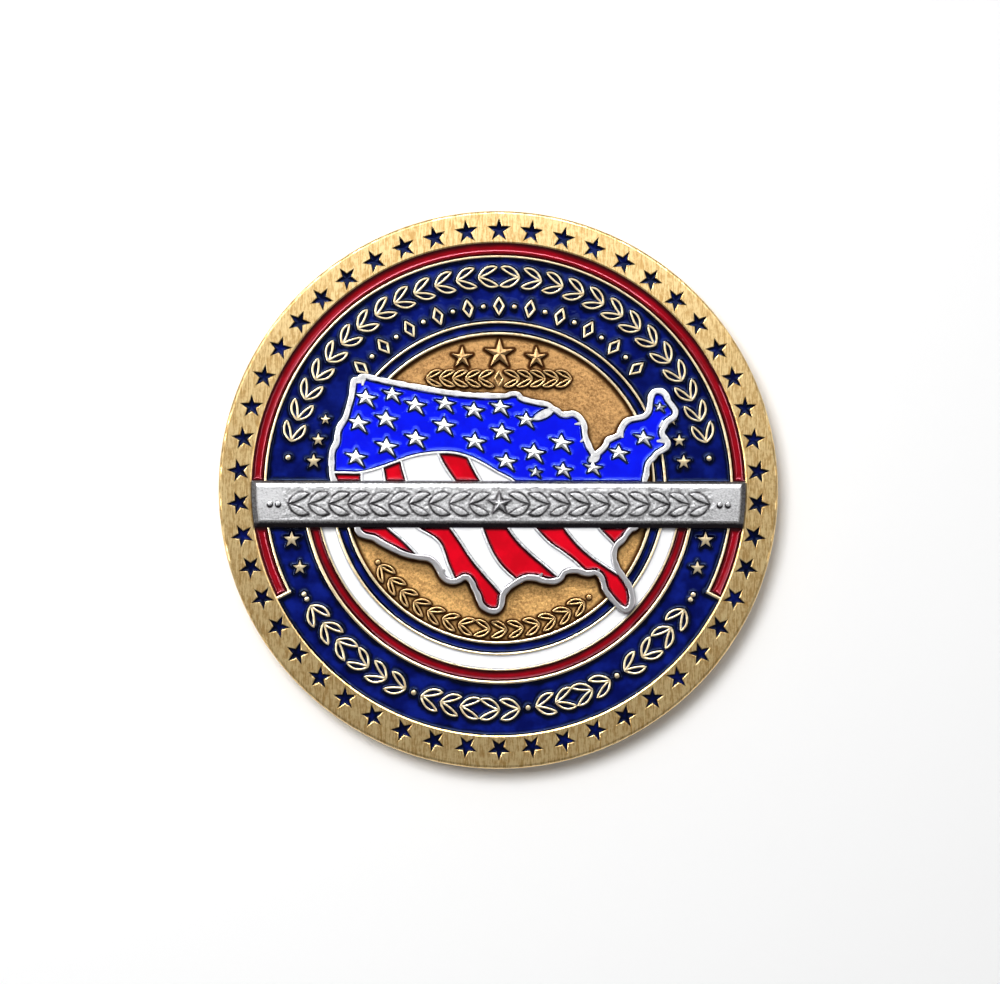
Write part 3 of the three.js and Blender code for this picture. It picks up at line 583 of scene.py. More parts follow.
def makeEnamel(name):
    # cured colour under a glassy skin, darkened by painted shade beside the metal, where the patinaAndShade
    # attribute rises
    look = enamelLook[name]
    f = Finish(name + "Enamel")
    cloud = f.noise(f.place(), 0.55, 3.0, 0.55)
    dust = f.noise(f.place(), 14.0, 2.0, 0.6)
    wander = f.noise(f.place(), 0.8, 4.0, 0.6) - 0.5
    ripple = f.noise(f.place(), 1.3, 2.0, 0.4)
    colour = f.mix(f.between(cloud, 0.35, 0.7), look["body"], look["light"])
    # painted shade: the deep colour comes in as the patinaAndShade attribute, wandered by noise, rises
    wanderingShade = f.between(f.attribute("patinaAndShade") + wander * look["wanderingShade"], 0.05, 0.95)
    colour = f.mix(wanderingShade, colour, look["deep"])
    return f.shine(colour=colour, rough=0.03 + dust * 0.03, specular=look["weight"], tint=look["tint"],
                   normal=f.bump(ripple, look["wave"], 0.35))


glueLook = {"amber": (0.62, 0.55, 0.36), "pale": (0.80, 0.75, 0.58)}


def makeGlue():
    # cloudy cured epoxy
    f = Finish("curedEpoxy")
    cloud = f.noise(f.place(), 1.1, 3.0)
    colour = f.mix(cloud, glueLook["amber"], glueLook["pale"])
    return f.shine(colour=colour, rough=0.35 + cloud * 0.2, normal=f.bump(cloud, 0.02, 0.4))


finishes = {
    "rim": makeRimGold(),
    "line": makeLineGold("lineGold", level["line"], 0.2),
    "ringLine": makeLineGold("ringLineGold", level["line"], 0.1),
    "starGold": makeLineGold("starGold", level["line"] - 0.14, 0.4, fieldStarLook),
    "fieldRelief": makeLineGold("fieldReliefGold", level["line"] - 0.05, 0.3, reliefLook),
    "field": makeFieldGold(),
    "coastNickel": makeMapNickel("coastNickel", level["mapRidge"], 0.32, 0.8),
    "mapNickel": makeMapNickel("mapNickel", level["mapRidge"], 0.32, 0.0),
    "bar": makeBarNickel(),
    "glue": makeGlue(),
    **{name: makeEnamel(name) for name in enamelLook},
}
for film in ("map_glue_film", "bar_glue_film"):
    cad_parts[film].data.materials.clear()
    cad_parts[film].data.materials.append(finishes["glue"])
print("stage: finishes ready")

# ornament outlines, shared by the relief and by the enamel that climbs up it

sprigLook = {"length": 1.7, "width": 1.95, "leaf": 0.27, "stroke": 0.19, "bow": 0.16}


def leafLoop(look, side, points=26):
    # an almond from root to tip: a bowed middle line, and a half width that follows a sine
    t = np.concatenate([np.linspace(0, 1, points // 2, endpoint=False),
                        np.linspace(1, 0, points // 2, endpoint=False)])
    way = np.where(np.arange(len(t)) < points // 2, 1.0, -1.0)
    length, reach = look["length"], look["width"] / 2 - look["leaf"] * 0.45
    x = -length / 2 + length * t
    y = reach * t + look["bow"] * np.sin(np.pi * t)
    slope = np.arctan2(reach + look["bow"] * np.pi * np.cos(np.pi * t), length)
    half = look["leaf"] * np.sin(np.pi * t) ** 0.8 * way
    return np.stack([x - np.sin(slope) * half, (y + np.cos(slope) * half) * side], -1)


def sprigLeaves(look, places, points=26):
    # the outlines of both leaves of every sprig
    return [turned(leafLoop(look, side, points), turn, centre) for turn, centre in places for side in (1, -1)]


def sprayPlaces(radius, start, end, count):
    # sprigs grow from both ends towards the middle: (clock, turn, centre) of each
    clocks = start + (end - start) * (np.arange(count) + 0.5) / count
    flips = np.where(clocks < (start + end) / 2, 0.0, 180.0)
    return [(c + flip, clockPoint(radius, c)) for c, flip in zip(clocks, flips)]


def levelPlaces(halfWidth, y, count):
    # the same along a level line
    x = halfWidth * (np.arange(count) + 1) / (count + 0.5)
    return [(0.0, (-v, y)) for v in x] + [(180.0, (v, y)) for v in x]


# the rows of the bands: radii, spans of sprigs as (first clock, last clock, count), beads as
# (clock, size), and the stars of the right side as (x, y, size)
rowLook = {
    "outer": 19.3, "inner": 16.6, "lower": 20.1,
    "outerSpan": (-78, 78, 26), "innerSpan": 49, "innerCount": 21,
    "lowerSpans": ((123, 146, 4), (150, 170.5, 4), (174.5, 200.5, 5), (204.5, 238, 6)),
    "outerBeads": ((-82, 0.26), (82, 0.26)), "innerBead": 0.22,
    "lowerBeads": ((148, 0.26), (172.5, 0.26), (202.5, 0.26),
                   (118.85, 0.24), (120.35, 0.24), (239.65, 0.24), (241.15, 0.24)),
    "upperStars": ((15.75, 6.15, 0.5), (16.4, 4.3, 0.62), (16.8, 2.35, 0.72)),
    "lowerStars": ((18.75, -4.75, 0.8), (18.0, -7.3, 0.7)),
}
bandPlaces = {
    "upper": sprayPlaces(rowLook["outer"], *rowLook["outerSpan"]),
    "lower": [p for span in rowLook["lowerSpans"] for p in sprayPlaces(rowLook["lower"], *span)],
}
innerClocks = np.linspace(-rowLook["innerSpan"], rowLook["innerSpan"], rowLook["innerCount"])
beads = {
    "upper": [(*clockPoint(rowLook["outer"], c), r) for c, r in rowLook["outerBeads"]]
    + [(*clockPoint(rowLook["inner"], c), rowLook["innerBead"]) for c in innerClocks[1::2]],
    "lower": [(*clockPoint(rowLook["lower"], c), r) for c, r in rowLook["lowerBeads"]],
}
sideStars = {half: [(s * x, y, r) for s in (-1, 1) for x, y, r in rowLook[half + "Stars"]]
             for half in ("upper", "lower")}
lozengeLook = {"length": 0.85, "width": 1.55, "stroke": 0.2}


def lozengeLoop(length, width, steps=4):
    # four corners with straight sides cut into steps
    corners = np.array([[-length / 2, 0], [0, -width / 2], [length / 2, 0], [0, width / 2]])
    t = (np.arange(steps) / steps)[None, :, None]
    return (corners[:, None] * (1 - t) + np.roll(corners, -1, 0)[:, None] * t).reshape(-1, 2)


def lozengeRow(steps):
    # a lozenge at every other clock of the inner row
    loop = lozengeLoop(lozengeLook["length"], lozengeLook["width"], steps)
    return [turned(loop, c, clockPoint(rowLook["inner"], c)) for c in innerClocks[0::2]]


# the map: coast, top edge of the stripes, seams, stars (x, y, size), lakes and spurs, in millimetres

coast = [
    (-15.0, 0.7), (-15.15, 2.0), (-15.1, 3.2), (-14.72, 4.0), (-14.62, 4.9), (-14.4, 5.5),
    (-13.95, 6.2), (-13.65, 7.2), (-13.38, 8.2), (-13.25, 9.2), (-13.15, 9.7), (-12.75, 9.78),
    (-12.3, 10.05), (-11.2, 9.8), (-9.6, 9.45), (-8.0, 9.15), (-6.4, 8.85), (-4.8, 8.58),
    (-3.2, 8.4), (-1.4, 8.28), (0.5, 8.28), (1.05, 8.46), (1.65, 8.44), (2.05, 8.05),
    (2.7, 7.85), (3.6, 7.65), (4.4, 7.5), (4.85, 7.15), (5.3, 6.92), (5.65, 6.62),
    (6.15, 6.58), (6.7, 6.68), (7.2, 6.42), (7.58, 5.95), (7.75, 5.4), (7.78, 4.8),
    (7.95, 4.2), (8.25, 3.5), (8.68, 2.98), (9.2, 3.3), (9.62, 3.75), (9.85, 4.25),
    (10.35, 4.5), (10.85, 4.75), (11.05, 5.25), (11.35, 5.78), (11.8, 6.12), (12.5, 6.3),
    (13.15, 6.45), (13.55, 6.9), (13.7, 7.6), (13.8, 8.3), (14.15, 8.72), (14.7, 8.75),
    (15.12, 8.45), (15.38, 7.9), (15.75, 7.4), (16.02, 6.95), (15.95, 6.5), (15.6, 6.2),
    (15.2, 5.9), (15.0, 5.5), (14.8, 5.15), (14.82, 4.75), (15.08, 4.4), (15.28, 4.05),
    (15.2, 3.65), (14.8, 3.35), (14.3, 3.05), (14.0, 2.65), (13.62, 2.3), (13.42, 1.8),
    (13.35, 1.2), (13.2, 0.6), (12.9, -1.5), (12.45, -3.5), (11.9, -3.85), (11.55, -4.25),
    (11.25, -4.7), (10.8, -5.1), (10.47, -5.55), (10.37, -6.1), (10.43, -6.7), (10.7, -7.4),
    (11.15, -8.05), (11.6, -8.7), (11.9, -9.4), (12.0, -10.2), (11.88, -10.8), (11.5, -11.12),
    (11.05, -11.0), (10.5, -10.5), (9.95, -9.85), (9.55, -9.25), (9.38, -8.6), (9.15, -8.05),
    (8.7, -7.75), (8.1, -7.82), (7.6, -7.75), (7.1, -7.57), (6.4, -7.58), (5.85, -7.82),
    (5.6, -8.25), (5.15, -8.5), (4.5, -8.56), (3.9, -8.45), (3.3, -8.25), (2.5, -8.22),
    (1.9, -8.45), (1.2, -8.88), (0.62, -9.35), (0.3, -9.9), (0.22, -10.55), (0.02, -11.05),
    (-0.4, -11.25), (-1.0, -11.15), (-1.5, -10.8), (-1.76, -10.3), (-1.95, -9.75), (-2.25, -9.2),
    (-2.47, -8.65), (-2.82, -8.25), (-3.2, -8.2), (-3.65, -8.45), (-4.2, -8.58), (-4.8, -8.42),
    (-5.2, -8.0), (-5.48, -7.4), (-5.82, -6.9), (-6.35, -6.52), (-7.0, -6.4), (-7.8, -6.3),
    (-8.7, -6.05), (-9.4, -5.72), (-10.2, -5.32), (-10.85, -4.95), (-11.35, -4.65), (-12.0, -4.5),
    (-12.5, -4.28), (-12.78, -3.9), (-12.9, -3.4), (-13.9, -1.5),
]
coastLine = smoothPath(coast, 0.12, True)
wave = smoothPath([(-15.6, 1.3), (-14.0, 1.26), (-12.5, 1.27), (-11.0, 1.65), (-9.0, 2.37), (-7.6, 2.82),
                   (-6.2, 3.04), (-5.0, 3.12), (-3.8, 3.02), (-2.6, 2.66), (-1.4, 2.06), (-0.2, 1.35),
                   (1.2, 0.6), (1.9, -0.2)], 0.15, False)
upperSeams = [smoothPath(s, 0.15, False) for s in (
    [(-12.45, 1.6), (-12.4, 0.3)],
    [(-10.62, 2.1), (-10.5, 1.4), (-10.3, 0.3)],
    [(-8.95, 2.7), (-8.68, 1.6), (-8.3, 0.3)],
    [(-5.72, 3.4), (-5.1, 2.1), (-4.5, 1.15), (-3.9, 0.3)],
    [(-2.98, 3.2), (-2.5, 2.1), (-2.0, 1.15), (-1.5, 0.3)],
)]
lowerSeams = [smoothPath(s, 0.15, False) for s in (
    [(-10.7, -3.0), (-10.1, -3.65), (-9.4, -4.25), (-8.75, -4.8), (-8.2, -5.32), (-7.5, -6.05), (-7.1, -6.7)],
    [(-8.3, -3.0), (-7.3, -3.8), (-6.5, -4.25), (-5.8, -4.7), (-5.3, -5.25), (-4.98, -6.0), (-4.65, -7.0),
     (-4.3, -7.8), (-3.9, -8.7)],
    [(-4.85, -3.0), (-4.1, -4.1), (-3.4, -5.1), (-2.8, -6.05), (-2.1, -7.0), (-1.2, -8.05), (-0.4, -8.95),
     (0.6, -10.1)],
    [(-1.8, -3.0), (-1.4, -4.2), (-1.05, -5.1), (-0.6, -6.05), (-0.1, -6.85), (0.6, -7.65), (1.8, -8.7)],
    [(0.4, -3.0), (1.1, -4.1), (1.9, -5.1), (2.9, -6.05), (4.0, -6.98), (5.3, -8.1)],
    [(2.7, -3.0), (3.6, -4.15), (4.6, -5.15), (5.7, -5.9), (6.8, -6.75), (7.9, -7.8)],
    [(5.45, -3.0), (6.3, -4.2), (7.2, -5.25), (8.3, -6.25), (9.6, -7.15), (11.4, -8.3)],
    [(8.4, -3.0), (9.2, -3.98), (9.9, -4.7), (10.9, -5.7)],
)]
mapStars = [
    (-12.1, 8.05, 0.95), (-9.7, 8.4, 0.85), (-7.6, 7.4, 0.92), (-12.75, 5.75, 0.95),
    (-10.25, 6.1, 0.95), (-7.55, 4.35, 0.95), (-10.2, 3.65, 0.98), (-12.95, 2.65, 0.92),
    (-4.9, 7.55, 0.88), (-5.0, 5.55, 0.95), (-2.3, 6.95, 0.88), (-2.2, 4.1, 0.95),
    (0.1, 7.25, 0.9), (0.25, 4.95, 0.92), (0.62, 2.3, 0.9), (2.45, 6.1, 0.85),
    (3.15, 3.1, 0.98), (5.65, 4.0, 0.98), (5.8, 1.55, 0.8), (3.3, 1.35, 0.55),
    (8.5, 1.75, 0.8), (10.85, 3.1, 0.9), (13.1, 4.45, 0.85), (14.6, 7.3, 0.5),
]
mapLakes = [(4.05, 6.62, 2.3, 0.8, -26.0), (8.62, 2.62, 1.25, 0.8, -31.0)]
mapSpurs = [
    (-12.4, 9.2, -12.32, 9.95, 0.62), (-12.45, 9.5, -13.1, 9.62, 0.6), (6.85, 5.72, 7.7, 5.85, 0.5),
    (7.35, 4.12, 8.0, 4.55, 0.5), (11.2, 4.5, 11.0, 5.2, 0.6), (14.3, 4.2, 15.1, 4.25, 0.6),
    (14.5, 5.5, 15.0, 5.9, 0.6), (8.3, 2.3, 8.6, 3.0, 0.6), (-4.9, -7.5, -5.3, -7.9, 0.6),
    (3.9, -7.8, 3.5, -8.3, 0.5), (9.0, -7.4, 8.9, -7.9, 0.5),
]
mapLook = {
    "ridge": 0.52, "ridgeEdge": 0.1, "seam": 0.17, "wave": 0.2, "wallTop": level["mapRidge"] - 0.06,
    "waveEnd": 1.9, "whiteShade": 0.2, "blueShade": 0.5, "redShade": 0.8,
    "poolLift": 0.03, "poolReach": 1.1, "poolDepth": 1.1,
}
starShape = {"grow": 1.05, "waist": 0.44, "wide": 1.06, "squat": 0.8, "shear": 0.16, "longArm": 1.25}


def wavingStar(x, y, size):
    # the flag is waving, so its stars are squat, sheared and long in the lower right arm
    shape = starShape
    east, north = starOutline(size * shape["grow"], shape["waist"]).T
    reach = np.where((east > 0) & (north < -0.5 * size), shape["longArm"], 1.0)
    rise = shape["squat"] * north - shape["shear"] * east
    return np.stack([x + shape["wide"] * east * reach, y + rise * reach], -1)


def coastGap(x, y):
    # distance outwards from the middle of the map's ridge, negative inside the map
    away = np.abs(distanceTo(x, y, coastLine, True))
    return np.where(insideOf(x, y, coastLine), -away, away)


poolLook = {"sag": 0.10, "climb": 0.2, "reach": 0.1, "shade": 0.55}


def poolTop(gap, top, reach=1.0, depth=1.0):
    # the surface sags a little and climbs the metal: top - sag + climb * exp(-gap / reach)
    away = np.maximum(gap, 0) / (poolLook["reach"] * reach)
    return top + depth * (poolLook["climb"] * np.exp(-away) - poolLook["sag"])


def poolShade(gap, reach=1.0):
    # painted shade: 1 against the metal, fading to 0 where the colour is clear of it
    return 1 - eased(gap, 0.02, poolLook["shade"] * reach)


def solidGap(gap, x, y, outline, within):
    # lowers the gaps within reach of an outline to their distance from it, negative inside
    near = np.hypot(x - outline[:, 0].mean(), y - outline[:, 1].mean()) < within
    inside = insideOf(x[near], y[near], outline)
    away = np.abs(distanceTo(x[near], y[near], outline, True))
    gap[near] = np.minimum(gap[near], np.where(inside, -away, away))


def stainAround(shade, x, y, loops, start, end, strength=1.0, stroke=0.0, within=2.2):
    # raises the patina beside each outline: full strength up to the start, gone at the end
    for loop in loops:
        near = np.hypot(x - loop[:, 0].mean(), y - loop[:, 1].mean()) < within
        away = np.abs(distanceTo(x[near], y[near], loop, True)) - stroke / 2
        shade[near] = np.maximum(shade[near], strength * (1 - eased(away, start, end)))


def ornamentGap(x, y, half):
    # distance from each point of a band to the nearest relief that stands in it
    gap = np.full(x.shape, 9.0)
    loops = sprigLeaves(sprigLook, bandPlaces[half])
    if half == "upper":
        loops += lozengeRow(1)
    for loop in loops:
        near = np.hypot(x - loop[:, 0].mean(), y - loop[:, 1].mean()) < 1.9
        if near.any():
            d = np.abs(distanceTo(x[near], y[near], loop[::2] if len(loop) > 8 else loop, True))
            gap[near] = np.minimum(gap[near], d - sprigLook["stroke"] / 2)
    for bx, by, radius in beads[half]:
        gap = np.minimum(gap, np.hypot(x - bx, y - by) - radius)
    for sx, sy, size in sideStars[half]:
        solidGap(gap, x, y, starOutline(size) + [sx, sy], size + 1.0)
    return gap


def bandGrid(inner, outer, start, end, stepAcross, stepAlong, edgeStart=None, edgeEnd=None):
    # rows run across the band, columns round it; an end may follow the straight side of the bar
    r = np.linspace(inner, outer, max(int((outer - inner) / stepAcross), 6) + 1)
    around = int(math.radians(end - start) * (inner + outer) / 2 / stepAlong)
    u = np.linspace(0, 1, around + 1)[None, :]
    first = np.degrees(np.arccos(edgeStart / r)) if edgeStart is not None else np.full(len(r), start)
    last = np.degrees(np.arccos(edgeEnd / r)) if edgeEnd is not None else np.full(len(r), end)
    if edgeStart is not None and start < 0:
        first = -first
    if edgeStart is not None and start > 180:
        first = 360 - first
    if edgeEnd is not None and end > 180:
        last = 360 - last
    clock = first[:, None] * (1 - u) + last[:, None] * u
    flat = clockPoint(r[:, None], clock)
    return flat[..., 0], flat[..., 1], np.broadcast_to(r[:, None], clock.shape), clock


def bandPool(name, colour, inner, outer, start, end, replaced, half=None, edgeStart=None, edgeEnd=None,
             step=0.085, stopStart=False, stopEnd=False, lift=0.0, slot="navy_enamel", clearOfMap=True,
             reach=1.0, depth=1.0, wallGap=None):
    # a pool between two radii and two clocks: its height and its painted dark edge of shade follow the gap to
    # the metal
    x, y, r, clock = bandGrid(inner, outer, start, end, step * 0.9, step, edgeStart, edgeEnd)
    gap = wallGap(x, y, r, clock) if wallGap else np.minimum(r - inner, outer - r)
    for edge in (edgeStart, edgeEnd):
        if edge is not None:
            gap = np.minimum(gap, np.abs(y - edge))
    if stopStart:
        gap = np.minimum(gap, np.radians(clock - start) * r)
    if stopEnd:
        gap = np.minimum(gap, np.radians(end - clock) * r)
    if half:
        gap = np.minimum(gap, ornamentGap(x, y, half))
    top = level["enamel"] + lift
    height = poolTop(gap, top, reach, depth)
    shadeReach = 0.3 if colour == "white" else 1.3 if half else 1.0  # the painted shade reaches further round the ornament
    if clearOfMap:
        coastal = coastGap(x, y)
        height = poolTop(np.minimum(gap, coastal - mapLook["ridge"] / 2), top, reach, depth)
        height = np.where(coastal < 0, level["mapBed"] + 0.05, height)
        gap = np.minimum(gap, coastal - mapLook["ridge"] / 2)
    vertices, faces, source = slab(x, y, height, level["cellFloor"])
    # painted shade beside the metal and round the ornament
    shade = poolShade(gap, shadeReach).ravel()[source]
    makePiece(name, vertices, faces, colour, slot, replaced, {"patinaAndShade": shade}, sharp=60)


ring = {
    "arcLineOuter": 21.29, "arcLineInner": 21.05, "redLineOuter": 17.83, "redLineInner": 17.5,
    "redWhiteWall": 16.53, "lineAOuter": 15.23, "lineAInner": 14.98, "lineBOuter": 14.21, "lineBInner": 13.94,
    "arcEnd": 116.7, "arcEndWidth": 0.3, "thinWall": 0.15,
}


def lowerNavyGap(x, y, r, clock):
    # distance to the red line, the rim, the two arc lines and the stops at their ends
    onArc = np.abs(clock - 180) > 180 - ring["arcEnd"]
    gap = np.minimum(r - ring["redLineOuter"], rimInner - r)
    gap = np.where(onArc, np.minimum(gap, ring["arcLineInner"] - r), gap)
    for side in (-1, 1):
        stop = clockPoint(np.array([ring["arcLineInner"], rimInner]), np.full(2, side * ring["arcEnd"]))
        gap = np.minimum(gap, np.abs(distanceTo(x, y, stop)) - ring["arcEndWidth"] / 2)
    return gap


def makeEnamelBands():
    # every cell of the bands and rings, a little short of the stops that end the arcs
    north = {"edgeStart": barNorth, "edgeEnd": barNorth}
    south = {"edgeStart": barSouth, "edgeEnd": barSouth}
    arc = {"slot": "red_enamel", "clearOfMap": False, "reach": 3.2, "depth": 1.9}
    lower = {"half": "lower", "clearOfMap": False, "wallGap": lowerNavyGap}
    arcInner, arcEnd = ring["arcLineOuter"], ring["arcEnd"] - 0.4
    seam, half = ring["arcLineInner"] + 0.02, ring["thinWall"] / 2
    bandPool("redArcUpper", "ruby", arcInner, rimInner, -88, 88, ["red_arc_upper"], **north, **arc)
    bandPool("redArcRight", "ruby", arcInner, rimInner, 99, arcEnd, ["red_arc_right"],
             edgeStart=barSouth, stopEnd=True, **arc)
    bandPool("redArcLeft", "ruby", arcInner, rimInner, 360 - arcEnd, 261, ["red_arc_left"],
             edgeEnd=barSouth, stopStart=True, **arc)
    bandPool("navyBandUpper", "navy", ring["lineAOuter"], ring["arcLineInner"], -88, 88,
             ["navy_band_upper"], half="upper", step=0.087, **north)
    bandPool("navyBandLower", "navy", ring["redLineOuter"], seam, 99, 261, ["navy_band_lower"],
             **south, **lower)
    bandPool("navyBandEdge", "navy", seam, rimInner, ring["arcEnd"] + 0.35,
             360 - ring["arcEnd"] - 0.35, [], **lower)
    bandPool("navyRingUpper", "navy", ring["lineBOuter"], ring["lineAInner"], -87, 87,
             ["navy_ring_upper_1", "navy_ring_upper_2"], **north)
    bandPool("navyRingLower", "navy", ring["lineBOuter"], ring["lineAInner"], 104, 256,
             ["navy_ring_lower_1", "navy_ring_lower_2"], **south)
    bandPool("redRingLower", "ruby", ring["redWhiteWall"] + half, ring["redLineInner"], 102, 258,
             ["red_ring_lower"], slot="red_enamel", **south)
    bandPool("whiteRingLower", "white", ring["lineAOuter"], ring["redWhiteWall"] - half, 102, 258,
             ["white_ring_lower_1"], slot="white_enamel", lift=0.06, **south)


makeEnamelBands()
print("stage: enamel bands")

bodyLook = {
    "shoulder": 0.3, "starSize": 1.03, "starWaist": 0.4, "starRing": 23.6, "stars": 50, "pocket": 0.42,
    "lipScale": 1.22, "lipTip": 0.13, "lipDrop": 0.035, "innerBevel": 0.115, "innerDrop": 0.052,
    "poolSheets": (1.0, 1.0, 0.86, 0.6), "poolHeights": (-0.1, 0.2, 0.1, 0.07),
    "poolShades": (1.0, 1.0, 0.95, 0.8, 0.6, 1.0),
}


def makeRim():
    # each of fifty sectors is a patch between its star and its own edges; the side is turned to match
    look, sector = bodyLook, 360 / bodyLook["stars"]
    outer = designRadius - look["shoulder"]
    star = starOutline(look["starSize"], look["starWaist"], 4)
    count = len(star)
    over, down = 5, 10  # steps over half of the sector's outer or inner edge, and down its side
    index = np.arange(count)
    half = np.minimum(index, count - index)
    way = np.where(index <= count / 2, 1.0, -1.0)
    aside = np.clip(np.minimum(half, count / 2 - half) / over, 0, 1)
    clock = aside * way * sector / 2
    brink = rimInner + look["innerBevel"]
    radius = outer + (brink - outer) * np.clip((half - over) / down, 0, 1)
    border = clockPoint(radius, clock) - [0, look["starRing"]]
    reach = np.hypot(star[:, 0], star[:, 1])
    grown = star * np.minimum(look["lipScale"], 1 + look["lipTip"] / reach)[:, None]
    top, floor = level["rimTop"], level["rimTop"] - look["pocket"]
    rows = [(star * 0.55, floor), (star, floor), (star, top - look["lipDrop"]), (grown, top)]
    rows += [(grown * (1 - t) + border * t, top) for t in (0.3, 0.65, 1.0)]
    patch = np.stack([np.column_stack([flat, np.full(count, z)]) for flat, z in rows])
    centre = np.array([[0, 0, floor]])
    vertices, faces = [], []
    patchFaces = gridFaces(len(rows), count, False, True).reshape(-1, 4)
    hub = np.stack([index, np.roll(index, -1), np.full(count, len(rows) * count)], 1)
    for k in range(look["stars"]):
        base = k * (len(rows) * count + 1)
        flat = np.vstack([patch.reshape(-1, 3), centre])
        flat[:, 1] += look["starRing"]
        flat[:, :2] = turned(flat[:, :2], k * sector, (0, 0))
        vertices.append(flat)
        faces += [patchFaces[:, ::-1] + base, hub[:, ::-1] + base]
    s = look["shoulder"]
    corner = np.radians(np.linspace(0, 90, 6))
    upperTurn = np.stack([outer + s * np.sin(corner), top - s + s * np.cos(corner)], -1)
    lowerTurn = np.stack([outer + s * np.cos(corner), s - s * np.sin(corner)], -1)
    side = np.vstack([upperTurn, lowerTurn, [[rimInner, 0.0], [rimInner, top - 0.14],
                     [rimInner, top - look["innerDrop"]], [brink, top]]])
    clocks = np.arange(0, 360, sector / 10)
    flat = clockPoint(side[:, None, 0], clocks[None, :])
    rise = np.broadcast_to(side[:, 1:], flat.shape[:2])
    base = sum(len(v) for v in vertices)
    vertices.append(np.concatenate([flat, rise[..., None]], -1).reshape(-1, 3))
    faces.append(gridFaces(len(side), len(clocks), False, True).reshape(-1, 4) + base)
    vertices, faces = welded(np.vstack(vertices), faces)
    away = np.hypot(vertices[:, 0], vertices[:, 1])
    # patina and painted shade: the star pockets and the inner wall below its bevel are painted dark brown
    pocketed = (vertices[:, 2] < top - 0.5 * look["lipDrop"]) & (away < outer - 0.2) & (vertices[:, 2] > 1)
    pocketed &= (away > brink + 0.1) | (vertices[:, 2] < top - 0.1)
    makePiece("rimRing", vertices, faces, "rim", "gold_plate", ["coin_body"],
              {"patinaAndShade": 0.92 * pocketed, "plain": 1.0 * (away > designRadius - 0.1)}, sharp=18)


def makeRimStarEnamel():
    # a small pool in each pocket, highest against its walls
    look, parts = bodyLook, []
    outline = starOutline(look["starSize"] * 0.995, look["starWaist"], 2)
    heights = [level["rimTop"] - look["pocket"] + rise for rise in look["poolHeights"]]
    for k in range(look["stars"]):
        clock = k * 360 / look["stars"]
        centre = clockPoint(look["starRing"], clock)
        sheets = [turned(outline * s, clock, centre) for s in look["poolSheets"]]
        parts.append(stacked(sheets, heights, heights[-1]))
    vertices, faces = gathered(parts)
    # painted shade: each pool is darkest against its pocket walls and lighter towards the middle of its top
    rings, hubs = look["poolShades"][:4], look["poolShades"][4:]
    shade = np.tile(np.append(np.repeat(rings, len(outline)), hubs), look["stars"])
    makePiece("rimStarEnamel", vertices, faces, "navy", "navy_enamel", attributes={"patinaAndShade": shade})


reverseLook = {
    "field": 0.5, "line": 0.08, "lineInner": 17.2, "lineOuter": 17.6, "lineEdge": 0.06,
    "star": 8.6, "wreath": 13.2, "wreathStart": 12, "wreathEnd": 348, "sprigs": 22,
}


def makeWeb():
    # the body inside the rim: cell floors above, the reverse's field, cell and line below
    look = reverseLook
    inner, outer, edge = look["lineInner"], look["lineOuter"], look["lineEdge"]
    profile = np.array([
        [0, look["field"]], [inner, look["field"]], [inner, look["line"] + edge],
        [inner + edge, look["line"]], [outer - edge, look["line"]],
        [outer, look["line"] + edge], [outer, level["reverseCell"]],
        [rimInner + 0.2, level["reverseCell"]], [rimInner + 0.2, level["cellFloor"]],
        [ring["lineBInner"], level["cellFloor"]], [0, level["cellFloor"]],
    ])
    clocks = np.arange(0, 360, 1.2)
    flat = clockPoint(profile[None, :, 0], clocks[:, None])
    rise = np.broadcast_to(profile[:, 1], flat.shape[:2])
    vertices = np.concatenate([flat, rise[..., None]], -1).reshape(-1, 3)
    faces = [gridFaces(len(clocks), len(profile), True, False).reshape(-1, 4)]
    vertices, faces = welded(vertices, faces)
    makePiece("coinWeb", vertices, faces, "line", "gold_plate")


def makeLines():
    # the walls between the cells: whole rings, arcs, and the two stops that end the red arcs
    foot, top = level["cellFloor"] - 0.05, level["line"]
    south = math.degrees(math.acos(barSouth / ring["redLineInner"])) - 1.5  # a little way under the bar
    arcSpan = ring["arcEnd"]
    wall, half = ring["redWhiteWall"], ring["thinWall"] / 2
    parts = [
        ringLine(ring["lineAInner"], ring["lineAOuter"], foot, top, 0.1),
        ringLine(ring["lineBInner"], ring["lineBOuter"], foot, top, 0.1),
        ringLine(ring["arcLineInner"], ring["arcLineOuter"], foot, top, 0.1, -arcSpan, arcSpan),
        ringLine(ring["redLineInner"], ring["redLineOuter"], foot, top, 0.13, south, 360 - south),
        ringLine(wall - half, wall + half, foot, top - 0.05, 0.04, south, 360 - south),
    ]
    for side in (-1, 1):
        ends = clockPoint(np.array([ring["arcLineInner"], rimInner + 0.05]), np.full(2, side * arcSpan))
        stop = roundTop(ring["arcEndWidth"], foot, top, 0.1)
        parts.append(swept(np.linspace(ends[0], ends[1], 4), stop, False))
    vertices, faces = gathered(parts)
    makePiece("cellLines", vertices, faces, "ringLine", "gold_plate", sharp=18)


makeRim()
makeRimStarEnamel()
makeWeb()
makeLines()
print("stage: rim, web and lines")


def strokeLoops(loops, stroke, foot, top, edge=0.06):
    # a rounded wall carried round each closed outline
    profile = roundTop(stroke, foot, top, edge)
    return gathered([swept(loop, profile, True) for loop in loops])


def beadSolid(x, y, radius, foot, top):
    # a round stud with a domed head
    clocks = np.arange(0, 360, 30)
    rings = [clockPoint(np.full(12, radius * s), clocks) + [x, y] for s in (1.0, 1.0, 0.8, 0.45)]
    return stacked(rings, (foot, top - 0.12, top - 0.03, top), top)


def starSolid(outline, foot, top, edge=0.07, dome=0.0, fall=0.8):
    # fall is how steeply the edge drops for its width
    return stacked([outline, outline, shrunk(outline, edge)], (foot, top - edge * fall, top), top + dome)


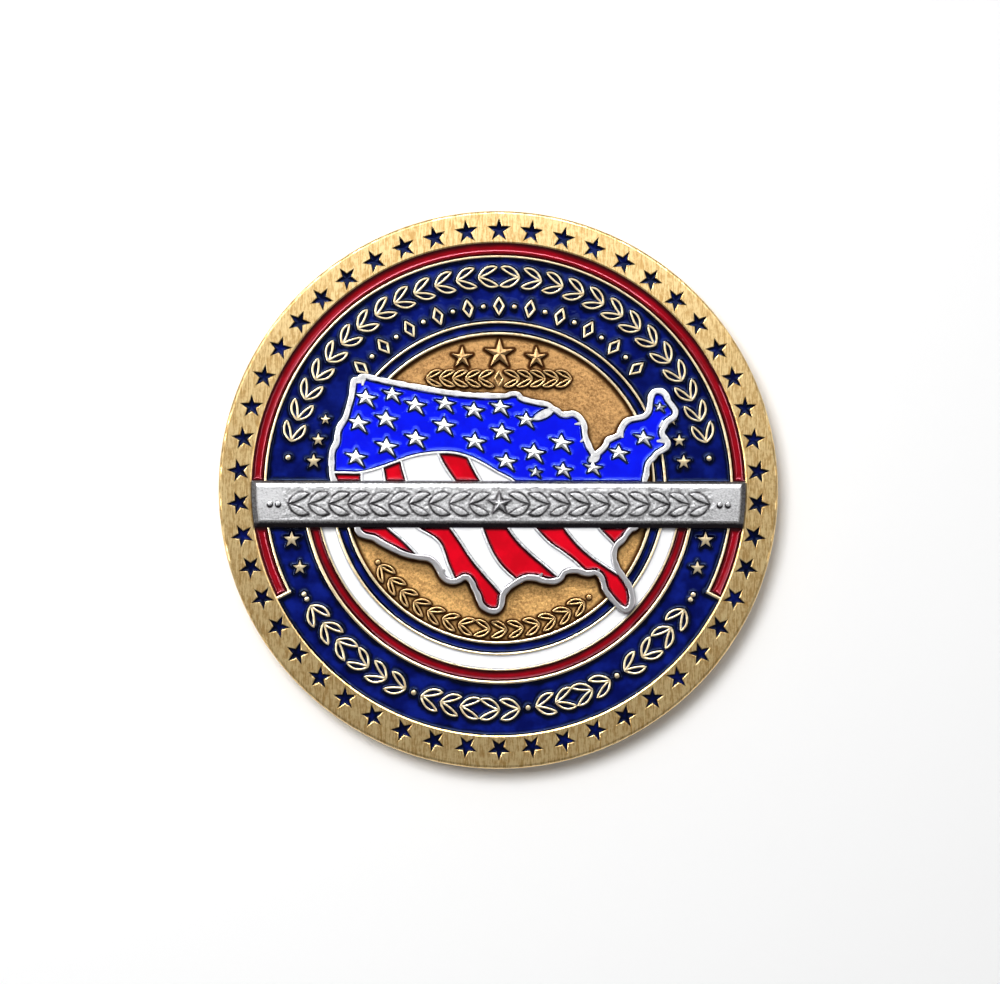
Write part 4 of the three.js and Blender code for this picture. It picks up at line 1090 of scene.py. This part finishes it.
def makeBandRelief(half):
    # sprigs, lozenges, beads and stars standing in one navy band
    foot, top = level["cellFloor"], level["line"]
    loops = sprigLeaves(sprigLook, bandPlaces[half])
    parts = [strokeLoops(loops, sprigLook["stroke"], foot, top)]
    if half == "upper":
        parts.append(strokeLoops(lozengeRow(4), lozengeLook["stroke"], foot, top))
    parts += [beadSolid(x, y, r, foot, top) for x, y, r in beads[half]]
    vertices, faces = gathered(parts)
    makePiece(half + "BandRelief", vertices, faces, "line", "gold_plate", sharp=20)
    stars = [starSolid(starOutline(r) + [x, y], foot, top, 0.1, 0.04) for x, y, r in sideStars[half]]
    vertices, faces = gathered(stars)
    makePiece(half + "BandStars", vertices, faces, "line", "gold_plate", sharp=25)


makeBandRelief("upper")
makeBandRelief("lower")
print("stage: band relief")

fieldSprig = {"length": 1.35, "width": 1.55, "leaf": 0.2, "stroke": 0.17, "bow": 0.12}
fieldRows = {
    "level": (6.5, 9.95, 5), "curve": (12.9, 143, 237, 14), "lozenge": (0.75, 1.35),
    "starWaist": 0.36, "starRise": 0.118,
    "besideLine": 0.6, "besideMap": 0.55, "besideBead": 0.26, "besideSprig": (0.04, 0.36),
}
fieldPlaces = levelPlaces(*fieldRows["level"]) + sprayPlaces(*fieldRows["curve"])
fieldStars = [(0.05, 12.25, 1.38), (-3.35, 11.9, 0.99), (3.4, 11.9, 0.99)]
fieldBeads = [(8.15, -9.95, 0.24), (-10.95, -6.8, 0.24)]


def makeField():
    # a round sheet; patina gathers in its corners, against the lines, the map and the relief
    x, y = discGrid(ring["lineBInner"] + 0.1, 222)
    gap = ring["lineBInner"] - np.hypot(x, y)
    shade = 1 - eased(gap, 0.0, fieldRows["besideLine"])
    coastal = coastGap(x, y) - mapLook["ridge"] / 2
    shade = np.maximum(shade, 1 - eased(coastal, 0.0, fieldRows["besideMap"]))
    loops = sprigLeaves(fieldSprig, fieldPlaces, 12)
    loops += [starOutline(size, fieldRows["starWaist"]) + [cx, cy] for cx, cy, size in fieldStars]
    stainAround(shade, x, y, loops, *fieldRows["besideSprig"], stroke=fieldSprig["stroke"])
    for bx, by, size in fieldBeads:
        away = np.hypot(x - bx, y - by) - size
        shade = np.maximum(shade, 1 - eased(away, 0.0, fieldRows["besideBead"]))
    grain = valueNoise(x, y, 0.16, 3) - 0.5
    top = level["field"] + 0.022 * grain + 0.05 * np.exp(-np.maximum(gap, 0) / 0.15)
    vertices, faces, source = slab(x, y, top, level["cellFloor"] - 0.02)
    makePiece("sandField", vertices, faces, "field", "gold_plate",
              attributes={"patinaAndShade": shade.ravel()[source]}, sharp=60)


def makeFieldRelief():
    # sprigs, a lozenge and beads as rounded lines, and three stars with sharp ridges
    foot, top = level["field"] - 0.1, level["line"]
    loops = sprigLeaves(fieldSprig, fieldPlaces, 20)
    loops.append(lozengeLoop(*fieldRows["lozenge"]) + [0, fieldRows["level"][1]])
    parts = [strokeLoops(loops, fieldSprig["stroke"], foot, top - 0.05)]
    parts += [beadSolid(x, y, r, foot, top - 0.05) for x, y, r in fieldBeads]
    vertices, faces = gathered(parts)
    makePiece("fieldRelief", vertices, faces, "fieldRelief", "gold_plate", sharp=20)
    waist, rise = fieldRows["starWaist"], fieldRows["starRise"]
    stars = [stacked([starOutline(size, waist) + [x, y]] * 2, (foot, top - rise * size), top)
             for x, y, size in fieldStars]
    vertices, faces = gathered(stars)
    makePiece("ridgedStars", vertices, faces, "starGold", "gold_plate", sharp=10)


makeField()
makeFieldRelief()
print("stage: field")


def seamProfile(width):
    # the section of a seam's wall
    return roundTop(width, level["mapFloor"] - 0.1, mapLook["wallTop"], width * 0.3)


def makeMapRidge():
    # a wall along the coast, its width wandering, with short tapered spurs for the inlets
    ridge = roundTop(mapLook["ridge"], level["mapBed"], level["mapRidge"], mapLook["ridgeEdge"])
    swell = 1 + 0.35 * (valueNoise(coastLine[:, 0], coastLine[:, 1], 0.55, 12) - 0.5)
    parts = [swept(coastLine, ridge, True, blur=2, swell=swell)]
    for x0, y0, x1, y1, width in mapSpurs:
        spur = roundTop(width, level["mapBed"], level["mapRidge"] - 0.01, 0.09)
        parts.append(swept(np.linspace((x0, y0), (x1, y1), 6), spur, False, swell=np.linspace(0.3, 1, 6)))
    vertices, faces = gathered(parts)
    makePiece("mapRidge", vertices, faces, "coastNickel", "nickel_plate", ["map_plate"], sharp=20)


def makeMapSeams():
    # walls along the wave and between the stripes, cut off at the coast and at the wave
    inside = lambda path: path[coastGap(path[:, 0], path[:, 1]) < 0.1]
    parts = [swept(inside(wave), seamProfile(mapLook["wave"]), False)]
    for seam in upperSeams:
        below = distanceTo(seam[:, 0], seam[:, 1], wave) < 0.05
        parts.append(swept(seam[below], seamProfile(mapLook["seam"]), False))
    for seam in lowerSeams:
        parts.append(swept(inside(seam), seamProfile(mapLook["seam"]), False))
    vertices, faces = gathered(parts)
    makePiece("mapSeams", vertices, faces, "mapNickel", "nickel_plate", sharp=20)


def lakeOutline(x, y, length, width, turn):
    # an ellipse pinched towards its ends
    t = np.linspace(0, 2 * np.pi, 20, endpoint=False)
    flat = np.stack([length / 2 * np.cos(t), width / 2 * np.sin(t) * np.abs(np.sin(t)) ** 0.3], -1)
    return turned(flat, turn, (x, y))


def makeMapStars():
    # domed stars and flat lakes standing in the blue
    foot, top = level["mapFloor"], level["mapRidge"] - 0.02
    parts = [starSolid(wavingStar(*star), foot, top - 0.03, edge=0.12, dome=0.13, fall=2.2)
             for star in mapStars]
    parts += [starSolid(lakeOutline(*lake), foot, top, edge=0.1) for lake in mapLakes]
    vertices, faces = gathered(parts)
    makePiece("mapStars", vertices, faces, "mapNickel", "nickel_plate", sharp=25)


def regionPool(name, colour, box, reach, replaced, relief=None, step=0.075):
    # a pool over a square grid: reach() is positive inside its region, and grid points within half a
    # step of the edge slide onto it, by the gap over its slope
    west, south, east, north = box
    x, y = np.meshgrid(np.arange(west, east, step), np.arange(south, north, step), indexing="ij")
    gap = reach(x, y)
    gx, gy = np.gradient(gap, step)
    size = np.maximum(np.hypot(gx, gy), 0.3) ** 2
    near = np.abs(gap) < 0.5 * step
    x = np.where(near, x - gap * gx / size, x)
    y = np.where(near, y - gap * gy / size, y)
    solid = gap > -0.5 * step
    keep = solid[:-1, :-1] & solid[1:, :-1] & solid[1:, 1:] & solid[:-1, 1:]
    clear = np.where(near, 0, np.maximum(gap, 0))
    if relief is not None:
        clear = np.minimum(clear, relief(x, y))
    top = level["mapEnamel"] + mapLook["poolLift"]
    height = poolTop(clear, top, mapLook["poolReach"], mapLook["poolDepth"])
    vertices, faces, source = slab(x, y, height, level["mapFloor"] - 0.3, keep)
    # painted shade beside the coast, the seams and the stars
    shade = poolShade(clear, mapLook[colour + "Shade"]).ravel()[source]
    makePiece(name, vertices, faces, colour, colour + "_enamel", replaced, {"patinaAndShade": shade}, sharp=60)


def inCoast(x, y):
    # how far inside the ridge's inner edge
    return -coastGap(x, y) - mapLook["ridge"] / 2


def starRelief(x, y):
    # distance from each point to the nearest star or lake of the map
    gap = np.full(x.shape, 9.0)
    for outline in [wavingStar(*s) for s in mapStars] + [lakeOutline(*lake) for lake in mapLakes]:
        solidGap(gap, x, y, outline, 2.2)
    return gap


def waveGap(x, y, side):
    # distance above (side 1) or below (side -1) the wave's wall; past its end all is below it
    past = 9.0 * side
    return np.where(x > mapLook["waveEnd"], past, side * distanceTo(x, y, wave) - mapLook["wave"] / 2)


def blueGap(x, y):
    # inside the coast, above the wave and clear of the bar
    return np.minimum(np.minimum(inCoast(x, y), waveGap(x, y, 1)), y - barNorth)


def stripeGap(upper, west, east):
    # inside the coast, clear of the bar and between two seams; seams run down the map, so their left is east
    half = mapLook["seam"] / 2

    def gapAt(x, y):  # the least of the distances to what bounds the stripe
        gap = np.minimum(inCoast(x, y), y - barNorth if upper else barSouth - y)
        if upper:
            gap = np.minimum(gap, waveGap(x, y, -1))
        if west is not None:
            gap = np.minimum(gap, distanceTo(x, y, west) - half)
        if east is not None:
            gap = np.minimum(gap, -distanceTo(x, y, east) - half)
        return gap

    return gapAt


def makeMapEnamel():
    # the blue field, then red and white stripes in turn between the seams, each in its own box
    west, east, south, north = -15.4, 13.5, -11.6, 10.4
    regionPool("mapBlueField", "blue", (west, 0.4, 16.3, north), blueGap, ["map_blue_field"],
               starRelief, 0.07)
    for seams, place, bottom, top in ((upperSeams, "upper", 0.4, 3.6), (lowerSeams, "lower", south, -3.3)):
        bounds = [None, *seams, None]
        for i, (before, after) in enumerate(zip(bounds[:-1], bounds[1:])):
            xs = np.concatenate([seam[:, 0] for seam in (before, after) if seam is not None])
            left = west if before is None else xs.min() - 0.3
            right = east if after is None else xs.max() + 0.3
            colour = "white" if i % 2 else "red"
            number = i // 2 + 1
            name = f"map{colour.capitalize()}{place.capitalize()}{number}"
            gapAt = stripeGap(place == "upper", before, after)
            regionPool(name, colour, (left, bottom, right, top), gapAt, [f"map_{colour}_{place}_{number}"])


makeMapRidge()
makeMapSeams()
makeMapStars()
makeMapEnamel()
print("stage: map")

barLook = {
    "end": high("bar_plate", 0), "face": level["barTop"] - 0.25, "bevelUpper": 0.56, "dropUpper": 0.14,
    "brow": 0.24, "dropBrow": 0.26,
    "bevelLower": 0.62, "dropLower": 0.42, "bevelEnd": 0.55, "dropEnd": 0.42, "spray": 19.0, "sprigs": 10,
    "star": 1.15, "carved": 19.9, "stippleFine": 0.035, "stippleBroad": 0.02,
}
barSprig = {"length": 1.85, "width": 2.15, "leaf": 0.34, "bow": 0.2}
barPlaces = levelPlaces(barLook["spray"], barMiddle, barLook["sprigs"])
barBeads = [(s * x, barMiddle, 0.23) for s in (-1, 1) for x in (19.93, 20.67)]


def barPatinaAndShade(x, y, flatness, carved, southFall, endFall):
    # the darkest of: patina round the outlines and in the pits, painted shadow under the beads, painted shade
    # on the lower face and on the bevels to the south, the ends and the north; a painted highlight runs along
    # the southern arris
    look = barLook
    shade = np.zeros(x.shape)
    outlines = sprigLeaves(barSprig, barPlaces, 14)
    outlines.append(starOutline(look["star"]) + [0, barMiddle])
    stainAround(shade, x, y, outlines, 0.05, 0.30, strength=0.85)
    shade = shade * (0.65 + 0.5 * valueNoise(x, y, 0.45, 21))
    shade = np.maximum(shade, 0.42 * carved * eased(valueNoise(x, y, 0.3, 8), 0.3, 0.8))
    # painted shadow: a dark crescent a little south of each bead
    for bx, by, size in barBeads:
        below = np.hypot(x - bx, y - by + 0.12) - size
        shade = np.maximum(shade, 1 - eased(below, 0.0, 0.14))
    shade = shade * flatness
    # painted shade: the lower part of the face is darker
    shade = np.maximum(shade, 0.34 * eased(barMiddle - y, -1.4, 0.9) * flatness)
    # painted shade on the southern bevel
    shade = np.maximum(shade, 0.45 * eased(southFall, 0.0, 0.05) + 0.55 * eased(southFall, 0.05, 0.24))
    # painted highlight: a bright line along the southern arris
    shade = shade * (1 - 0.8 * np.exp(-((y - barSouth - look["bevelLower"]) / 0.07) ** 2))
    # painted shade on the end bevels
    shade = np.maximum(shade, 0.7 * eased(endFall, 0.02, 0.3 * look["dropEnd"]))
    # painted shade on the steep brow at the northern edge
    shade = np.maximum(shade, 0.72 * eased(y, barNorth - 0.26, barNorth - 0.2))
    return shade


def makeBar():
    # a height over its footprint: the lower of the profile across it and the cone at its ends
    look = barLook
    radius = look["end"]
    inner = radius - look["bevelEnd"]
    across = np.concatenate([
        [barSouth, barSouth + 0.02], np.linspace(barSouth + 0.06, barSouth + look["bevelLower"], 6),
        np.linspace(barSouth + look["bevelLower"], barNorth - look["bevelUpper"], 42)[1:],
        np.linspace(barNorth - look["bevelUpper"], barNorth - look["brow"], 5)[1:],
        np.linspace(barNorth - look["brow"], barNorth, 5)[1:]])
    middle = np.linspace(-1, 1, 560)
    cap = np.linspace(1, 2, 9)[1:]
    along = np.concatenate([-cap[::-1], middle, cap])
    u, y = np.meshgrid(along, across, indexing="ij")
    near, far = np.sqrt(inner ** 2 - y ** 2), np.sqrt(radius ** 2 - y ** 2)
    x = np.where(np.abs(u) <= 1, u * near, np.sign(u) * (near + (far - near) * (np.abs(u) - 1)))
    southFall = look["dropLower"] * np.clip((barSouth + look["bevelLower"] - y) / look["bevelLower"], 0, 1)
    # two slopes to the north: a broad shallow one, then a steep brow at the very edge
    shallow = look["bevelUpper"] - look["brow"]
    northFall = look["dropUpper"] * np.clip((y - barNorth + look["bevelUpper"]) / shallow, 0, 1)
    northFall = northFall + look["dropBrow"] * np.clip((y - barNorth + look["brow"]) / look["brow"], 0, 1)
    endFall = look["dropEnd"] * np.clip((np.hypot(x, y) - inner) / look["bevelEnd"], 0, 1)
    fall = np.maximum(np.maximum(southFall, northFall), endFall)
    flatness = 1 - eased(fall, 0.0, 0.06)
    carved = flatness * eased(look["carved"] - np.abs(x), 0.0, 0.8)
    stipple = (valueNoise(x, y, 0.2, 5) - 0.5) * look["stippleFine"]
    stipple = stipple + (valueNoise(x, y, 0.5, 6) - 0.5) * look["stippleBroad"]
    height = look["face"] - fall + stipple * carved
    shade = barPatinaAndShade(x, y, flatness, carved, southFall, endFall)
    vertices, faces, source = slab(x, y, height, level["barSeat"])
    # painted shade: the bar's underside and the foot of its walls are painted dark
    attribute = np.where(vertices[:, 2] < level["barSeat"] + 0.1, 0.8, shade.ravel()[source])
    makePiece("barPlate", vertices, faces, "bar", "nickel_plate", ["bar_plate"],
              {"patinaAndShade": attribute}, sharp=28)


def leafSolid(outline, foot, top, edge):
    # a solid almond with a raised midrib
    return stacked([outline, outline, shrunk(outline, 0.25)], (foot, top - edge, top - 0.02), top + 0.02)


def makeBarRelief():
    # leaves with a midrib, one star and two pairs of beads standing on the bar
    foot, top = barLook["face"] - 0.1, level["barTop"] - 0.02
    parts = [leafSolid(leaf, foot, top, 0.1) for leaf in sprigLeaves(barSprig, barPlaces, 16)]
    star = starOutline(barLook["star"]) + [0, barMiddle]
    parts.append(stacked([star, star], (foot, barLook["face"] + 0.08), top + 0.02))
    parts += [beadSolid(x, y, r, foot, top) for x, y, r in barBeads]
    vertices, faces = gathered(parts)
    makePiece("barRelief", vertices, faces, "bar", "nickel_plate",
              attributes={"patinaAndShade": 0.3 + 0.6 * (vertices[:, 2] < top - 0.08)}, sharp=20)


makeBar()
makeBarRelief()
print("stage: bar")

wreathSprig = {"length": 2.7, "width": 3.0, "leaf": 0.5, "bow": 0.25}
wreathPlaces = sprayPlaces(reverseLook["wreath"], reverseLook["wreathStart"], reverseLook["wreathEnd"],
                           reverseLook["sprigs"])


def makeReverseGold():
    # the same gold as the lines, antiqued towards the field above it
    f = Finish("reverseGold")
    spots = f.noise(f.place(), 1.6, 4.0, 0.6)
    shade = f.between(f.along(2), reverseLook["line"] + 0.05, reverseLook["field"] - 0.02)
    worn = f.mix(f.between(spots, 0.42, 0.72), lineLook["bright"], lineLook["deep"])
    colour = f.mix(shade, worn, lineLook["foot"])
    return f.shine(colour=colour, metal=1.0, rough=0.25 + spots * 0.2, normal=f.bump(spots, 0.015, 0.3))


def makeReverseBand():
    # the reverse's one pool hangs from its cell: seen from below it sags and climbs as the others do
    r = np.linspace(reverseLook["lineOuter"], rimInner, 40)
    clocks = np.linspace(0, 360, 601)[:-1]
    flat = clockPoint(r[:, None], clocks[None, :])
    gap = np.minimum(r - reverseLook["lineOuter"], rimInner - r)
    height = level["reverseEnamel"] + poolLook["sag"] - poolLook["climb"] * np.exp(-gap / poolLook["reach"])
    top = np.broadcast_to(height[:, None], flat.shape[:2])
    roof = np.full(top.shape, level["reverseCell"] + 0.02)
    rows, cols = top.shape
    upper = np.concatenate([flat, top[..., None]], -1).reshape(-1, 3)
    lower = np.concatenate([flat, roof[..., None]], -1)[::-1].reshape(-1, 3)
    vertices = np.vstack([upper, lower])
    faces = [gridFaces(2 * rows, cols, True, True).reshape(-1, 4)]
    # painted shade beside the metal
    shade = np.concatenate([np.repeat(poolShade(gap), cols)] * 2)
    makePiece("reverseNavyBand", vertices, faces, "navy", "navy_enamel", ["reverse_navy_band"],
              {"patinaAndShade": shade}, sharp=60)


def makeReverseField():
    # a disc facing down, with patina by the line, the star and the wreath
    x, y = discGrid(reverseLook["lineInner"] + 0.05, 170)
    gap = reverseLook["lineInner"] - np.hypot(x, y)
    shade = 1 - eased(gap, 0.0, 0.8)
    outline = starOutline(reverseLook["star"])
    away = distanceTo(x, y, outline, True)
    shade = np.maximum(shade, 1 - eased(np.abs(away), 0.0, 0.5))
    stainAround(shade, x, y, sprigLeaves(wreathSprig, wreathPlaces, 14), 0.0, 0.3, within=3.0)
    height = reverseLook["field"] - 0.02 + 0.02 * (valueNoise(x, y, 0.2, 9) - 0.5)
    vertices, faces, source = slab(x, y, height, reverseLook["field"] + 0.2)
    makePiece("reverseField", vertices, faces, "field", "gold_plate",
              attributes={"patinaAndShade": shade.ravel()[source]}, sharp=60)


def makeReverseRelief():
    # a ridged star inside a wreath of solid leaves, their peaks towards the table
    foot, peak = reverseLook["field"] + 0.1, reverseLook["line"]
    outline = starOutline(reverseLook["star"], 0.4, 6)
    parts = [stacked([outline, outline], (foot, reverseLook["field"] - 0.08), peak)]
    for leaf in sprigLeaves(wreathSprig, wreathPlaces, 22):
        parts.append(stacked([leaf, leaf, shrunk(leaf, 0.2)], (foot, peak + 0.12, peak + 0.04), peak))
    vertices, faces = gathered(parts)
    makePiece("reverseRelief", vertices, faces, "reverseRelief", "gold_plate", sharp=12)


finishes["reverseRelief"] = makeReverseGold()
makeReverseBand()
makeReverseField()
makeReverseRelief()
print("stage: reverse")

studio = {
    "floor": (0.95, 0.95, 0.95), "floorCloud": (0.94, 0.94, 0.94), "floorSide": 3.0, "floorDrop": 0.00002,
    "world": 0.232,
    "tilt": 4.6, "sideways": -1.5, "distance": 254.0, "frameWidth": 90.7, "target": (0.09, -0.41, 3.4),
    "aim": (0, 0, 3.0),
    "key": {"place": (-75, 62, 300), "size": (110, 110), "glow": 20.0, "seen": "diffuse"},
    "north": {"place": (-70, 185, 470), "size": (560, 170), "glow": 1.86, "seen": "both"},
    "strip": {"place": (-60, 300, 320), "size": (600, 26), "glow": 42.0, "seen": "glossy"},
    "west": {"place": (-330, 70, 310), "size": (22, 400), "glow": 28.0, "seen": "glossy"},
    "east": {"place": (330, 70, 310), "size": (18, 400), "glow": 12.0, "seen": "glossy"},
}


def aimed(place, target):
    # the turn that points an object's -Z at the target with its +Y up the coin
    back = (Vector(place) - Vector(target)).normalized()
    right = Vector((0, 1, 0)).cross(back).normalized()
    return Matrix([right, back.cross(right), back]).transposed().to_euler()


def makeWorldAndFloor(scene):
    # even light from everywhere, and a pale square floor just under the coin
    world = bpy.data.worlds.new("softRoom")
    world.use_nodes = True
    world.node_tree.nodes["Background"].inputs["Color"].default_value = (1, 1, 1, 1)
    world.node_tree.nodes["Background"].inputs["Strength"].default_value = studio["world"]
    scene.world = world
    mesh = bpy.data.meshes.new("floor")
    side, drop = studio["floorSide"] / 2, studio["floorDrop"]
    corners = [(x * side, y * side, -drop) for x, y in ((-1, -1), (1, -1), (1, 1), (-1, 1))]
    mesh.from_pydata(corners, [], [(0, 1, 2, 3)])
    floor = bpy.data.objects.new("floor", mesh)
    scene.collection.objects.link(floor)
    f = Finish("paleFloor")
    cloud = f.noise(f.place(), 0.02, 2.0)
    mesh.materials.append(f.shine(colour=f.mix(cloud, studio["floor"], studio["floorCloud"]), rough=0.6))


def makeLights(scene):
    # rectangles aimed at the coin, each as bright as its glow whatever its size; some are seen only by
    # matt surfaces and some only in reflections
    for name in ("key", "north", "strip", "west", "east"):
        look = studio[name]
        data = bpy.data.lights.new(name, "AREA")
        data.shape = "RECTANGLE"
        data.size, data.size_y = (s * 0.001 for s in look["size"])
        data.energy = look["glow"] * math.pi * data.size * data.size_y
        lamp = bpy.data.objects.new(name, data)
        scene.collection.objects.link(lamp)
        lamp.visible_glossy = look["seen"] != "diffuse"
        lamp.visible_diffuse = look["seen"] != "glossy"
        place = np.array(look["place"]) * 0.001
        lamp.location = place
        lamp.rotation_euler = aimed(place, np.array(studio["aim"]) * 0.001)


def makeCamera(scene):
    # nearly overhead: leaned south by the tilt and aside by a little, at the distance from its target
    data = bpy.data.cameras.new("camera")
    data.sensor_width = 36.0
    data.lens = 36.0 * studio["distance"] / studio["frameWidth"]
    camera = bpy.data.objects.new("camera", data)
    scene.collection.objects.link(camera)
    tilt, sideways = math.radians(studio["tilt"]), math.radians(studio["sideways"])
    across = math.cos(sideways)
    away = np.array([math.sin(sideways), -math.sin(tilt) * across, math.cos(tilt) * across])
    target = np.array(studio["target"]) * 0.001
    place = target + away * studio["distance"] * 0.001
    camera.location = place
    camera.rotation_euler = aimed(place, target)
    scene.camera = camera


bpy.context.scene.view_settings.view_transform = "Standard"
makeWorldAndFloor(bpy.context.scene)
makeLights(bpy.context.scene)
makeCamera(bpy.context.scene)
print("stage: studio")
print("pieces", len(allPieces), "vertices", sum(n for _, n in allPieces))
